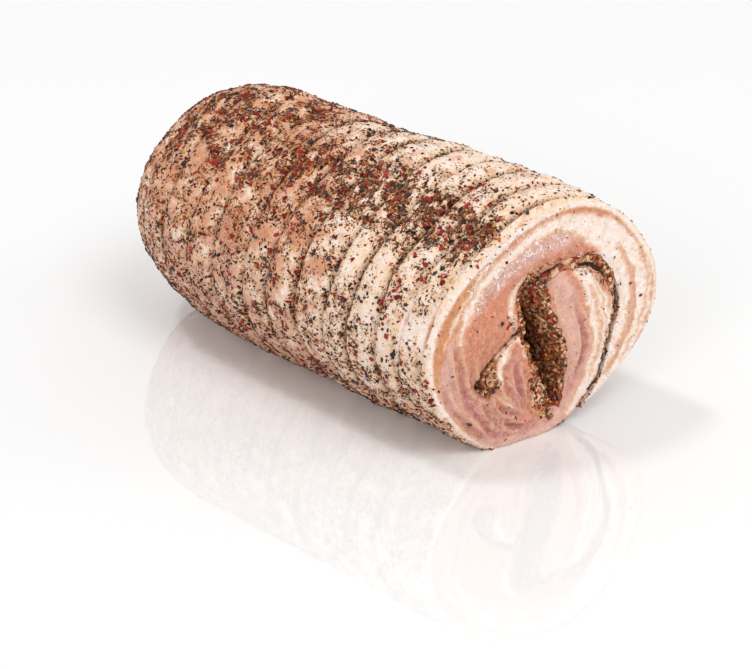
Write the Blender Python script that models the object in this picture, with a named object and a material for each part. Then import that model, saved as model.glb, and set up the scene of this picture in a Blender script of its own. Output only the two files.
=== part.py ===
"""Porchetta: a slab of pork belly rubbed with herbs, rolled up tight and tied into a roast.

The roll lies on its side along X with the cut end towards +X. The outer end of the slab is
at the lower right of that cut. From there the slab winds up over the top and down the left,
and its inner end stands up in the middle as a tongue beside an open hollow. Two nodes: the
slab, with its largest spice flakes, and the herb filling between its turns.
"""

import bisect
import math
import random

import bmesh
import bpy
from mathutils import Vector, noise

# ---------------------------------------------------------------- driving sizes, in metres
ROLL_LENGTH = 0.239           # far end to the middle of the cut
LONG_HALF = (0.0622, 0.0639, 0.0656, 0.0649)    # half of the oval's long axis, far end to cut
SHORT_HALF = (0.0590, 0.0573, 0.0573, 0.0574)   # half of its short axis, far end to cut
OVAL_LEAN = math.radians(33.0)                  # turn of the long axis out of level
OVAL_SQUARENESS = 2.39        # exponent: 2 is an ellipse, more is squarer
MEAN_RADIUS = 0.060           # for turning an angle round the roll into a distance
AXIS_BEND = 0.001             # the middle of the roll stands this far to one side
CUT_SKEW = 0.249              # the cut leans back to the left by this for each metre
SKEW_START = 0.3              # share of the length at which the skew sets in
END_DEPTH = 0.065             # the far end rounds off over this length
END_FLAT = 0.50               # size of its flat middle, as a share of the oval
END_DOME = 0.004              # that middle bulges out by this much
END_RINGS = (0.0, 0.0015, 0.006, 0.012)         # mesh rings between it and the first tie
RESTING_CUT = 0.0013          # the underside is pressed flat by this much

# Grooves that the netting has pressed in, from the far end: about 20 mm apart, 18 near the cut.
TIES = (0.020, 0.040, 0.060, 0.079, 0.101, 0.121, 0.142, 0.163, 0.1815, 0.1995, 0.2170, 0.2345)
TIE_DEPTH = 0.0021            # how far the cushions stand above the grooves
TIE_WANDER = 0.0012           # how far a groove strays along the roll
WANDER_WAVES = 1.7            # waves of that straying for each radian round the roll
WANDER_SHIFT = 2.3            # and how far the waves of one groove lag the last, in radians
BULGE_HEIGHT = 0.0012         # soft bumps of the meat under the netting
BULGE_SIZE = 0.032

# Where the slab stands out of the plain oval: (along, angle, reach along, reach round, height).
LUMPS = (
    (0.239, math.radians(103.0), 0.090, math.radians(24.0), 0.0021),
    (0.239, math.radians(163.0), 0.090, math.radians(14.0), -0.0016),
    (0.239, math.radians(51.0), 0.090, math.radians(10.0), -0.0010),
    (0.239, math.radians(-45.0), 0.050, math.radians(17.0), -0.0012),
    (0.239, math.radians(-72.0), 0.050, math.radians(14.0), -0.0012),
    (0.075, math.radians(74.0), 0.036, math.radians(24.0), -0.0020),
    (0.050, math.radians(68.0), 0.026, math.radians(20.0), -0.0012),
    (0.122, math.radians(61.0), 0.034, math.radians(24.0), -0.0034),
)

FLAP_TIP = 0.063              # torn scrap on top near the far end, its tip
FLAP_LENGTH = 0.026
FLAP_HEIGHT = 0.0034
FLAP_ANGLE = math.radians(77.0)
FLAP_SPREAD = math.radians(9.0)
FLAP_EDGE = 0.003             # its torn edge drops off over this

RIM_WIDTH = 0.055             # rounded rim of the cut, as a share of the radius
RIM_DROP = 0.0030

GAP = 0.0003                  # clear space between meat and filling
SEAM_HALF = 0.0013            # half thickness of a herb layer deep inside the roll
HOLLOW_TAPER = 0.080          # the hollow narrows to the seam over this depth
HOLLOW_TURN = 0.012           # its walls slant from the mouth's outline to the deep one in this
POCKET_DEPTH = 0.056          # depth of the open pocket in the hollow
LINING = 0.0021               # thickness of the herb lining on the pocket's walls
POCKET_LEAST = 0.0006         # the pocket's half width where it is narrowest
FILLING_INSET = 0.0024        # the filling stops this far under the crowns of the cushions
FACE_INSET = 0.0012           # and this far behind the cut
OVERSHOOT = 0.014             # how far the cutters reach out of the cut
FAR_OVERSHOOT = 0.042         # and out of the far end, which the skew leaves further back
STAGGER = 0.0017              # each layer ends this much further out than the one before

# Middle line of each herb layer, as (y, z, half width), with the bottom of the roll at z 0. The
# hollow has one line at its mouth and one for the slanting slit that it narrows to behind it.
SEAM_LINE = (
    (0.0100, -0.0060, 0.0013),
    (0.0218, 0.0092, 0.0013),
    (0.0330, 0.0225, 0.0015),
    (0.0385, 0.0420, 0.0013),
    (0.0422, 0.0585, 0.0017),
    (0.0378, 0.0740, 0.0027),
    (0.0290, 0.0850, 0.0034),
    (0.0180, 0.0872, 0.0030),
    (0.0060, 0.0862, 0.0032),
    (-0.0100, 0.0805, 0.0030),
)
HOLLOW_LINE = (
    (-0.0030, 0.0880, 0.0060),
    (-0.0060, 0.0790, 0.0092),
    (-0.0045, 0.0680, 0.0092),
    (-0.0004, 0.0530, 0.0101),
    (0.0044, 0.0380, 0.0093),
    (0.0074, 0.0250, 0.0064),
    (0.0074, 0.0170, 0.0050),
    (0.0068, 0.0135, 0.0034),
)
HOLLOW_DEEP = (
    (-0.0098, 0.0810, 0.0044),
    (-0.0092, 0.0745, 0.0062),
    (-0.0058, 0.0650, 0.0076),
    (0.0002, 0.0530, 0.0086),
    (0.0050, 0.0405, 0.0084),
    (0.0078, 0.0300, 0.0070),
    (0.0078, 0.0220, 0.0060),
    (0.0074, 0.0165, 0.0044),
)
BRANCH_LINE = (
    (-0.0024, 0.0610, 0.0018),
    (-0.0130, 0.0598, 0.0018),
    (-0.0240, 0.0530, 0.0018),
    (-0.0320, 0.0450, 0.0026),
    (-0.0335, 0.0375, 0.0032),
    (-0.0290, 0.0315, 0.0020),
)

# Relief of the cut: (y, z, spread, height) of each soft swelling or dent.
FACE_SWELLINGS = (
    (-0.036, 0.064, 0.017, 0.0030),
    (-0.012, 0.098, 0.014, 0.0014),
    (0.022, 0.045, 0.011, 0.0022),
    (-0.020, 0.026, 0.012, 0.0024),
    (0.036, 0.094, 0.014, -0.0012),
    (0.012, 0.084, 0.007, -0.0020),
    (-0.050, 0.034, 0.010, -0.0012),
    (-0.003, 0.024, 0.008, -0.0036),
)
FOLD_PITCH = 0.0105           # meat folds at the lower left of the cut
FOLD_HEIGHT = 0.0011
FOLD_MIDDLE = (-0.028, 0.022)
FOLD_SPREAD = 0.020
FOLD_SLANT = 0.45             # how the folds lean: 0 is upright
FOLD_STRAY = 0.004            # and how far they stray from straight lines
STRAY_SIZE = 0.020

# Mesh fineness.
ROLL_FINENESS = (46, 3, 9, 4)  # steps round, rings for each tie, on the cut, on the far end
TRIM_FINENESS = (26, 1, 4, 2)
LINE_STEP = 0.0078             # spacing of points along a herb layer
DEPTH_STEPS = (0.0, 0.012, 0.030, 0.048, 0.080)

WELD = 0.00001                 # corners closer than this are one

# Spice flakes fused to the slab.
FLAKE_COUNT = 122
FLAKE_LONG = (0.0026, 0.0046)  # half length of a flake, smallest and largest
FLAKE_FLAT = 0.36              # half thickness as a share of the half length
FLAKE_NARROW = (0.55, 0.85)    # half width as a share of the half length
FLAKE_UNEVEN = (0.85, 1.15)    # how far its corners stray in and out
FLAKE_SPACING = 0.0072
FLAKE_CLEAR = 0.0058           # distance kept from the filling
FLAKE_FLOOR = 0.016            # none lie lower than this, so that the roast rests on meat
FLAKE_ENDS = 0.010             # none lie nearer than this to either end
FLAKE_SINK = 0.15              # how far a flake is pressed in, as a share of its half length
RIDGE_ANGLE = math.radians(119.0)   # the spices lie thickest along this line
RIDGE_SPREAD = math.radians(16.0)
SPARSE_SHARE = 0.16            # how thick they lie elsewhere, next to the ridge
FAR_SHARE = 0.16               # and how much thicker than that in the far half
FAR_LIMIT = (0.07, 0.13)       # the far half fades out between these distances
FLAKE_TRIES = 60000
SEED = 27


# ---------------------------------------------------------------- small helpers
def smooth_step(value):
    """Ease from 0 to 1 as value goes from 0 to 1."""
    value = min(1.0, max(0.0, value))
    return value * value * (3.0 - 2.0 * value)


def between(values, share):
    """Read a list of evenly spaced values at a share from 0 to 1, smoothly."""
    place = min(1.0, max(0.0, share)) * (len(values) - 1)
    index = min(int(place), len(values) - 2)
    part = smooth_step(place - index)
    return values[index] * (1.0 - part) + values[index + 1] * part


def signed_power(value, exponent):
    """Raise the size of a value to an exponent and keep its sign."""
    return math.copysign(abs(value) ** exponent, value)


def spline(points, step):
    """Smooth line through points that start with (y, z), with a point about every step."""
    ends = [points[0]] + list(points) + [points[-1]]
    line = []
    for index in range(1, len(ends) - 2):
        before, start, stop, after = (Vector(ends[index + shift]) for shift in (-1, 0, 1, 2))
        pieces = max(1, round((stop.xy - start.xy).length / step))
        for piece in range(pieces):
            t = piece / pieces
            line.append(0.5 * (2.0 * start + (stop - before) * t
                               + (2.0 * before - 5.0 * start + 4.0 * stop - after) * t * t
                               + (3.0 * start - before - 3.0 * stop + after) * t ** 3))
    line.append(Vector(points[-1]))
    return line


def face_outwards(mesh):
    """Split a closed mesh into triangles that all face out."""
    bmesh.ops.triangulate(mesh, faces=mesh.faces)
    bmesh.ops.recalc_face_normals(mesh, faces=mesh.faces)
    if mesh.calc_volume(signed=True) < 0.0:
        bmesh.ops.reverse_faces(mesh, faces=mesh.faces)


# ---------------------------------------------------------------- outer form of the roll
def oval_half_height(share):
    """Height of the oval's middle above its lowest point, at a share of the length."""
    wide = between(LONG_HALF, share) * math.sin(OVAL_LEAN)
    tall = between(SHORT_HALF, share) * math.cos(OVAL_LEAN)
    return math.hypot(wide, tall)


def tie_profile(along, angle):
    """0 on the crown of a cushion, -1 in a groove of the netting."""
    index = min(max(bisect.bisect_right(TIES, along), 1), len(TIES) - 1)
    start, stop = (TIES[number] + TIE_WANDER * math.sin(WANDER_WAVES * angle + WANDER_SHIFT * number)
                   for number in (index - 1, index))
    phase = (along - start) / (stop - start)
    return math.sqrt(abs(math.sin(math.pi * phase))) - 1.0


def skin_lift(along, angle):
    """How far the surface stands out of the plain oval."""
    lift = TIE_DEPTH * tie_profile(along, angle) * smooth_step(along / TIES[0] - 0.25)
    for middle, direction, reach, spread, height in LUMPS:
        lengthwise = (along - middle) / reach
        around = math.remainder(angle - direction, 2.0 * math.pi) / spread
        lift += height * math.exp(-lengthwise * lengthwise - around * around)
    place = Vector((along, MEAN_RADIUS * math.cos(angle), MEAN_RADIUS * math.sin(angle))) / BULGE_SIZE
    lift += BULGE_HEIGHT * noise.noise(place)
    before_tip = FLAP_TIP - along
    if -FLAP_EDGE < before_tip < FLAP_LENGTH:
        rise = smooth_step(1.0 - max(before_tip, 0.0) / FLAP_LENGTH)
        fall = 1.0 if before_tip >= 0.0 else 1.0 + before_tip / FLAP_EDGE
        side = math.exp(-(math.remainder(angle - FLAP_ANGLE, 2.0 * math.pi) / FLAP_SPREAD) ** 2)
        lift += FLAP_HEIGHT * rise * fall * side
    return lift


def oval_point(along, angle, scale=1.0, lift=0.0):
    """Point of the roll's section at a distance along it and an angle round it."""
    share = along / ROLL_LENGTH
    own = angle - OVAL_LEAN
    wide = between(LONG_HALF, share) * signed_power(math.cos(own), 2.0 / OVAL_SQUARENESS)
    tall = between(SHORT_HALF, share) * signed_power(math.sin(own), 2.0 / OVAL_SQUARENESS)
    flat = Vector((wide * math.cos(OVAL_LEAN) - tall * math.sin(OVAL_LEAN),
                   wide * math.sin(OVAL_LEAN) + tall * math.cos(OVAL_LEAN)))
    flat *= scale + lift / flat.length
    skew = CUT_SKEW * flat.x * max(0.0, (share - SKEW_START) / (1.0 - SKEW_START))
    sideways = AXIS_BEND * (1.0 - 4.0 * (share - 0.5) ** 2)
    height = flat.y + oval_half_height(share) - RESTING_CUT
    return Vector((along - 0.5 * ROLL_LENGTH + skew, flat.x + sideways, max(height, 0.0)))


def end_scale(along):
    """Size of the oval near the rounded far end, as a share of the full oval."""
    if along >= END_DEPTH:
        return 1.0
    rest = (END_DEPTH - along) / END_DEPTH
    return END_FLAT + (1.0 - END_FLAT) * math.sqrt(max(0.0, 1.0 - rest * rest))


def ring_stations(per_tie):
    """Distances along the roll of the mesh rings, with one in each groove."""
    stations = list(END_RINGS)
    for start, stop in zip(TIES, TIES[1:]):
        stations += [start + (stop - start) * number / per_tie for number in range(per_tie)]
    return stations + [TIES[-1], ROLL_LENGTH - RIM_DROP]


def face_relief(y, z, share):
    """How far the cut stands out of its plane, at a share of the radius from its middle."""
    height = 0.0
    for mid_y, mid_z, spread, lift in FACE_SWELLINGS:
        height += lift * math.exp(-((y - mid_y) ** 2 + (z - mid_z) ** 2) / spread ** 2)
    from_folds = math.hypot(y - FOLD_MIDDLE[0], z - FOLD_MIDDLE[1])
    across = y + FOLD_SLANT * z + FOLD_STRAY * noise.noise(Vector((y, z, 0.0)) / STRAY_SIZE)
    fold = math.sin(2.0 * math.pi * across / FOLD_PITCH)
    height += FOLD_HEIGHT * fold * math.exp(-(from_folds / FOLD_SPREAD) ** 2)
    rim = max(0.0, (share - 1.0 + RIM_WIDTH) / RIM_WIDTH)
    return height * (1.0 - rim) - RIM_DROP * rim * rim


def roll_mesh(fineness, inset=0.0, face_inset=0.0):
    """Closed skin of the roll with its cut face.

    fineness is (steps round it, rings for each tie, rings on the cut, rings on the far end).
    inset shrinks the sides and the far end, and face_inset sets the cut back.
    """
    angle_steps, per_tie, face_rings, end_rings = fineness
    mesh = bmesh.new()
    angles = [2.0 * math.pi * step / angle_steps for step in range(angle_steps)]
    rings = []
    for number in range(end_rings):
        share = (number + 1) / (end_rings + 1)
        dome = inset - END_DOME * (1.0 - share * share)
        rings.append([oval_point(0.0, angle, END_FLAT * share) + Vector((dome, 0.0, 0.0))
                      for angle in angles])
    for along in ring_stations(per_tie):
        shift = Vector((inset if along == 0.0 else 0.0, 0.0, 0.0))
        rings.append([oval_point(along, angle, end_scale(along),
                                 skin_lift(along, angle) - inset) + shift
                      for angle in angles])
    for number in range(face_rings):
        share = (1.0 - RIM_WIDTH) * (1.0 - number / face_rings)
        ring = [oval_point(ROLL_LENGTH, angle, share,
                           (skin_lift(ROLL_LENGTH, angle) - inset) * share) for angle in angles]
        for point in ring:
            point.x += face_relief(point.y, point.z, share) - face_inset
        rings.append(ring)
    rings = [[mesh.verts.new(point) for point in ring] for ring in rings]
    for lower, upper in zip(rings, rings[1:]):
        for step in range(angle_steps):
            after = (step + 1) % angle_steps
            mesh.faces.new((lower[step], lower[after], upper[after], upper[step]))
    mesh.faces.new(list(reversed(rings[0])))
    mesh.faces.new(rings[-1])
    face_outwards(mesh)
    return mesh


# ---------------------------------------------------------------- herb layers
def layer_half(face_half, depth):
    """Half thickness of a herb layer at a depth behind the cut."""
    return SEAM_HALF + (face_half - SEAM_HALF) * (1.0 - smooth_step(depth / HOLLOW_TAPER))


def layer_mesh(mouth, deep, depths, half_at, end_trim=0.0):
    """Closed ribbon that follows a line on the cut and runs back into the roll.

    It moves from the mouth's line to the deep one over HOLLOW_TURN. half_at(face_half, depth)
    gives the ribbon's half thickness. end_trim shortens both ends.
    """
    mesh = bmesh.new()
    pairs = spline([near + far for near, far in zip(mouth, deep)], LINE_STEP)
    count = len(pairs)
    sections = []
    for depth in depths:
        left = []
        right = []
        turned = min(1.0, max(0.0, depth / HOLLOW_TURN))
        points = [Vector(pair[:3]).lerp(Vector(pair[3:]), turned) for pair in pairs]
        for index, point in enumerate(points):
            ahead = points[min(index + 1, count - 1)].xy - points[max(index - 1, 0)].xy
            ahead.normalize()
            across = Vector((-ahead.y, ahead.x))
            half = half_at(point.z, depth)
            shift = ahead * end_trim * ((index == 0) - (index == count - 1))
            for side, row in ((1.0, left), (-1.0, right)):
                spot = point.xy + shift + across * half * side
                x = 0.5 * ROLL_LENGTH + CUT_SKEW * spot.x - depth
                row.append(mesh.verts.new((x, spot.x, spot.y - RESTING_CUT)))
        sections.append(left + right[::-1])
    for near, far in zip(sections, sections[1:]):
        for step in range(len(near)):
            after = (step + 1) % len(near)
            mesh.faces.new((near[step], near[after], far[after], far[step]))
    for section in (sections[0], sections[-1]):
        for step in range(count - 1):
            mirror = len(section) - 1 - step
            mesh.faces.new((section[step], section[step + 1], section[mirror - 1], section[mirror]))
    face_outwards(mesh)
    return mesh


def layer_depths(extra):
    """Depths of a through layer's sections, from before the cut to past the far end."""
    return (-OVERSHOOT - extra,) + DEPTH_STEPS + (ROLL_LENGTH + FAR_OVERSHOOT + extra,)


def herb_layers(shrink):
    """The hollow, the seam of the spiral and the branch, each a ribbon through the roll.

    Each reaches a little further than the one before, so that no two ends lie in one plane.
    """
    def half_at(face_half, depth):
        return layer_half(face_half, depth) - shrink

    lines = ((HOLLOW_LINE, HOLLOW_DEEP), (SEAM_LINE, SEAM_LINE), (BRANCH_LINE, BRANCH_LINE))
    return [layer_mesh(mouth, deep, layer_depths(STAGGER * number), half_at, shrink)
            for number, (mouth, deep) in enumerate(lines)]


def pocket_mesh():
    """The empty space inside the hollow's herb lining."""
    def half_at(face_half, depth):
        return max(layer_half(face_half, depth) - GAP - LINING, POCKET_LEAST)

    depths = [-OVERSHOOT] + [depth for depth in DEPTH_STEPS if depth < POCKET_DEPTH]
    return layer_mesh(HOLLOW_LINE, HOLLOW_DEEP, depths + [POCKET_DEPTH], half_at, GAP + LINING)


# ---------------------------------------------------------------- objects and Booleans
def new_object(name, mesh, material=None):
    """Put a bmesh into the scene as an object."""
    data = bpy.data.meshes.new(name)
    mesh.to_mesh(data)
    mesh.free()
    obj = bpy.data.objects.new(name, data)
    bpy.context.scene.collection.objects.link(obj)
    if material:
        data.materials.append(material)
    return obj


def material(name, colour, roughness):
    """Plain Principled material."""
    made = bpy.data.materials.new(name)
    made.use_nodes = True
    shader = made.node_tree.nodes["Principled BSDF"]
    shader.inputs["Base Color"].default_value = (*colour, 1.0)
    shader.inputs["Roughness"].default_value = roughness
    shader.inputs["Metallic"].default_value = 0.0
    return made


def bake(obj):
    """Replace an object's mesh by what its modifiers make, and weld its slivers."""
    graph = bpy.context.evaluated_depsgraph_get()
    data = bpy.data.meshes.new_from_object(obj.evaluated_get(graph))
    obj.modifiers.clear()
    obj.data = data
    mesh = bmesh.new()
    mesh.from_mesh(data)
    bmesh.ops.remove_doubles(mesh, verts=mesh.verts, dist=WELD)
    bmesh.ops.dissolve_degenerate(mesh, edges=mesh.edges, dist=WELD)
    bmesh.ops.triangulate(mesh, faces=mesh.faces)
    mesh.to_mesh(data)
    mesh.free()


def remove(objects):
    """Take helper objects out of the scene."""
    for obj in objects:
        bpy.data.objects.remove(obj, do_unlink=True)


def combine(obj, others, operation):
    """Join, cut or meet an object with others by one exact Boolean each, then drop them."""
    for other in others:
        step = obj.modifiers.new(operation.lower(), "BOOLEAN")
        step.operation = operation
        step.solver = "EXACT"
        step.object = other
        bake(obj)
    remove(others)


# ---------------------------------------------------------------- spice flakes
def line_distance(point, lines):
    """Distance on the cut from a point (y, z) to the nearest herb layer's side."""
    best = 1.0
    for line in lines:
        for spot in line:
            gap = (point - spot.xy).length - spot.z
            best = min(best, gap)
    return best


def flake_spots(rng):
    """Seeded places for the flakes: thickest along the ridge, sparse elsewhere."""
    lines = [spline(line, 0.002) for line in (HOLLOW_LINE, SEAM_LINE, BRANCH_LINE)]
    spots = []
    for _ in range(FLAKE_TRIES):
        if len(spots) == FLAKE_COUNT:
            break
        along = rng.uniform(FLAKE_ENDS, ROLL_LENGTH - FLAKE_ENDS)
        angle = rng.uniform(0.0, 2.0 * math.pi)
        off_ridge = math.remainder(angle - RIDGE_ANGLE, 2.0 * math.pi) / RIDGE_SPREAD
        far_half = 1.0 - smooth_step((along - FAR_LIMIT[0]) / (FAR_LIMIT[1] - FAR_LIMIT[0]))
        on_ridge = math.exp(-off_ridge * off_ridge)
        wanted = SPARSE_SHARE + (1.0 - SPARSE_SHARE) * on_ridge + FAR_SHARE * far_half
        if rng.random() > wanted:
            continue
        point = skin_point(along, angle)
        if point.z < FLAKE_FLOOR:
            continue
        if line_distance(Vector((point.y, point.z + RESTING_CUT)), lines) < FLAKE_CLEAR:
            continue
        if any((point - other[0]).length < FLAKE_SPACING for other in spots):
            continue
        spots.append((point, skin_normal(along, angle)))
    return spots


def skin_point(along, angle):
    """Point of the slab's outer surface."""
    return oval_point(along, angle, end_scale(along), skin_lift(along, angle))


def skin_normal(along, angle):
    """Outward normal of the slab's outer surface, read over about 3 mm."""
    step = 0.0015
    turn = step / MEAN_RADIUS
    lengthwise = skin_point(along + step, angle) - skin_point(along - step, angle)
    around = skin_point(along, angle + turn) - skin_point(along, angle - turn)
    return around.cross(lengthwise).normalized()


def flake_mesh(rng, point, normal):
    """One spice flake: a squashed, uneven chip that lies on the skin."""
    mesh = bmesh.new()
    bmesh.ops.create_icosphere(mesh, subdivisions=1, radius=1.0)
    half = rng.uniform(*FLAKE_LONG)
    side = normal.orthogonal().normalized()
    turn = rng.uniform(0.0, 2.0 * math.pi)
    ahead = side * math.cos(turn) + normal.cross(side) * math.sin(turn)
    aside = normal.cross(ahead)
    narrow = rng.uniform(*FLAKE_NARROW)
    for vert in mesh.verts:
        x, y, z = vert.co * rng.uniform(*FLAKE_UNEVEN)
        vert.co = (point + ahead * x * half + aside * y * half * narrow
                   + normal * half * (z * FLAKE_FLAT - FLAKE_SINK))
    face_outwards(mesh)
    return mesh


def fuse_flakes(roll):
    """Join all flakes to the slab with one Boolean union on a collection."""
    rng = random.Random(SEED)
    group = bpy.data.collections.new("flakes")
    bpy.context.scene.collection.children.link(group)
    for number, (point, normal) in enumerate(flake_spots(rng)):
        flake = new_object(f"flake_{number:03d}", flake_mesh(rng, point, normal))
        bpy.context.scene.collection.objects.unlink(flake)
        group.objects.link(flake)
    step = roll.modifiers.new("flakes", "BOOLEAN")
    step.operation = "UNION"
    step.operand_type = "COLLECTION"
    step.solver = "EXACT"
    step.collection = group
    bake(roll)
    remove(list(group.objects))
    bpy.data.collections.remove(group)


# ---------------------------------------------------------------- the porchetta
def make_filling(finish):
    """Herb filling: the layers a little slimmer, inside the skin, less the open pocket."""
    hollow, seam, branch = herb_layers(GAP)
    filling = new_object("herb_filling", hollow, finish)
    combine(filling, [new_object("seam", seam), new_object("branch", branch)], "UNION")
    skin = roll_mesh(TRIM_FINENESS, FILLING_INSET, FACE_INSET)
    combine(filling, [new_object("skin", skin)], "INTERSECT")
    combine(filling, [new_object("pocket", pocket_mesh())], "DIFFERENCE")
    return filling


def make_roll(finish):
    """The rolled slab: the skin, less the herb layers, with flakes fused on."""
    roll = new_object("pork_roll", roll_mesh(ROLL_FINENESS), finish)
    layers = [new_object("layer", mesh) for mesh in herb_layers(0.0)]
    combine(layers[0], layers[1:], "UNION")
    combine(roll, layers[:1], "DIFFERENCE")
    fuse_flakes(roll)
    return roll


def centre_over_origin(objects):
    """Move the meshes so that the origin is under the middle of their common box."""
    corners = [vert.co for obj in objects for vert in obj.data.vertices]
    middle_x = 0.5 * (min(co.x for co in corners) + max(co.x for co in corners))
    middle_y = 0.5 * (min(co.y for co in corners) + max(co.y for co in corners))
    for obj in objects:
        for vert in obj.data.vertices:
            vert.co.x -= middle_x
            vert.co.y -= middle_y
    print("moved by", round(middle_x, 6), round(middle_y, 6))


def main():
    """Build the two nodes in an empty scene."""
    remove(list(bpy.data.objects))
    meat = material("roast_pork_belly", (0.58, 0.32, 0.20), 0.35)
    herbs = material("herb_and_spice_rub", (0.10, 0.055, 0.03), 0.6)
    filling = make_filling(herbs)
    roll = make_roll(meat)
    centre_over_origin([roll, filling])
    for obj in (roll, filling):
        obj.data.shade_smooth()
        obj.data.set_sharp_from_angle(angle=math.radians(40.0))
        print(obj.name, sum(len(face.vertices) - 2 for face in obj.data.polygons), "triangles")


main()
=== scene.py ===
"""Looks of the porchetta: a rubbed, rolled and tied slab of pork belly with its herb filling.

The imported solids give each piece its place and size. Here the slab gets its fine relief, its
bands of fat and lean meat and its wet sheen, the herb filling its crumbs, and both their
thousands of spice bits. Units are metres, +Z is up and the cut end points to +X.
"""

import itertools
import logging
import math
from dataclasses import dataclass, field
from enum import Enum
from typing import Iterable, Sequence

import bpy
import numpy as np
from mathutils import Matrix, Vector, noise


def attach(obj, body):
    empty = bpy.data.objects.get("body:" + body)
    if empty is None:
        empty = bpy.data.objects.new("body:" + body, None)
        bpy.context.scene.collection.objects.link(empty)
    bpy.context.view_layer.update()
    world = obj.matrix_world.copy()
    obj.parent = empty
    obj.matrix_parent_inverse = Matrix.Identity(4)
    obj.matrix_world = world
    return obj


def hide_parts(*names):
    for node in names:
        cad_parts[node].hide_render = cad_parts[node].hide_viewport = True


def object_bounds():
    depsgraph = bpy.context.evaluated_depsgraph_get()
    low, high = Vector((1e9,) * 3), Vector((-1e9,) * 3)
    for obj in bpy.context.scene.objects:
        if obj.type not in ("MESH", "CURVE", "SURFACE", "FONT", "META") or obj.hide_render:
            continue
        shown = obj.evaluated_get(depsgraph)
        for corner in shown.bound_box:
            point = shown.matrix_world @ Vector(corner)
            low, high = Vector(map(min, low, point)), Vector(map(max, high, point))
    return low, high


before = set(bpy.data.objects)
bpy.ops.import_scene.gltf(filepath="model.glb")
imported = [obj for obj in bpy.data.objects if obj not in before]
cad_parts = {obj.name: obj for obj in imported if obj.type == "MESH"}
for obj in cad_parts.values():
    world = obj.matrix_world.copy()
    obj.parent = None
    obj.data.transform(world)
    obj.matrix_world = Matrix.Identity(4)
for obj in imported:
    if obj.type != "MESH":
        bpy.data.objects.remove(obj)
CAD_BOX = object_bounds()
MM = 0.001
SEED = 27
BOX_MARGIN = 0.00005  # every piece stays this far inside the box of the solids
# The part's frame is centred on its box. The roll's own middle line lies here in it.
ROLL_PLACE = np.array((-0.005802, -0.000736, 0.0))

Array = np.ndarray
Object = bpy.types.Object
Socket = bpy.types.NodeSocket
Tree = bpy.types.NodeTree
Table = tuple[tuple[float, ...], ...]
log = logging.getLogger("porchetta")


# ------------ small helpers
def smooth_step(values: Array | float) -> Array:
    """Ease from 0 to 1 as the values go from 0 to 1."""
    share = np.clip(values, 0.0, 1.0)
    return share * share * (3.0 - 2.0 * share)


def turn_between(angle: Array | float, middle: float) -> Array:
    """Signed turn in radians from the middle to others, from half a turn back to half a turn on."""
    return (np.asarray(angle) - middle + math.pi) % (2.0 * math.pi) - math.pi


def soft_noise(points: Array, size: float, shift: float = 0.0) -> Array:
    """Smooth noise from -1 to 1 at many points.

    Args:
        points: places, one in each row.
        size: size of its bumps in metres.
        shift: moves to another part of the noise.

    Returns:
        One value for each point.
    """
    return np.array([noise.noise(Vector(place)) for place in (points / size + shift).tolist()])


def linear(colour: str) -> tuple[float, float, float, float]:
    """Turn an sRGB hex colour into the linear values that shaders take.

    Args:
        colour: six hex digits after a hash.

    Returns:
        Linear red, green, blue and an alpha of 1.
    """
    parts = [int(colour[start:start + 2], 16) / 255.0 for start in (1, 3, 5)]
    red, green, blue = (part / 12.92 if part <= 0.04045 else ((part + 0.055) / 1.055) ** 2.4
                        for part in parts)
    return red, green, blue, 1.0


def feed(tree: Tree, node: bpy.types.Node, inputs: dict) -> None:
    """Set or link inputs of a node.

    Args:
        tree: node tree that holds it.
        node: the node.
        inputs: a value or an output socket for each input, by name or number.
    """
    for name, value in inputs.items():
        if isinstance(value, Socket):
            tree.links.new(value, node.inputs[name])
        else:
            node.inputs[name].default_value = value


def add(tree: Tree, kind: str, inputs: dict | None = None, out: int | str = 0, **settings) -> Socket:
    """Add a shader node with its settings, and set or link its inputs.

    Args:
        tree: node tree that gets it.
        kind: Blender's name for the kind of node, without the ShaderNode in front.
        inputs: a value or an output socket for each input, by name or number.
        out: which of its outputs is wanted.
        **settings: properties of the node.

    Returns:
        That output.
    """
    node = tree.nodes.new("ShaderNode" + kind)
    for name, value in settings.items():
        setattr(node, name, value)
    feed(tree, node, inputs or {})
    return node.outputs[out]


def new_material(name: str) -> tuple[bpy.types.Material, Tree, bpy.types.Node]:
    """Start a material.

    Args:
        name: common name of the real thing and how it was made.

    Returns:
        The material, its node tree and its shader.
    """
    made = bpy.data.materials.new(name)
    made.use_nodes = True
    return made, made.node_tree, made.node_tree.nodes["Principled BSDF"]


def put(name: str, data: bpy.types.ID) -> Object:
    """Put a mesh, lamp or camera into the scene.

    Args:
        name: name of the object.
        data: what it shows.

    Returns:
        The new object.
    """
    obj = bpy.data.objects.new(name, data)
    bpy.context.scene.collection.objects.link(obj)
    return obj


def ring_quads(count: int, size: int) -> list[list[int]]:
    """Quads between rings of corners that follow one another.

    Args:
        count: number of rings.
        size: corners of each ring.

    Returns:
        Four corner numbers for each quad, ring by ring.
    """
    step = np.arange(size)
    after = (step + 1) % size
    base = (np.arange(count - 1) * size)[:, None]
    quads = np.stack([base + step, base + after, base + size + after, base + size + step], -1)
    return quads.reshape(-1, 4).tolist()


def grid_mesh(name: str, corners: Array, faces: Iterable[Sequence[int]]) -> Object:
    """Put corners and faces into the scene as an object whose faces point out.

    Args:
        name: name of the object.
        corners: places of the corners, one in each row.
        faces: corner numbers of each face.

    Returns:
        The new object.
    """
    data = bpy.data.meshes.new(name)
    data.from_pydata(corners.tolist(), [], list(faces))
    _, places = triangle_corners(data)
    if np.einsum("ij,ij->i", places[:, 0], np.cross(places[:, 1], places[:, 2])).sum() < 0.0:
        data.flip_normals()
    return put(name, data)


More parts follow.
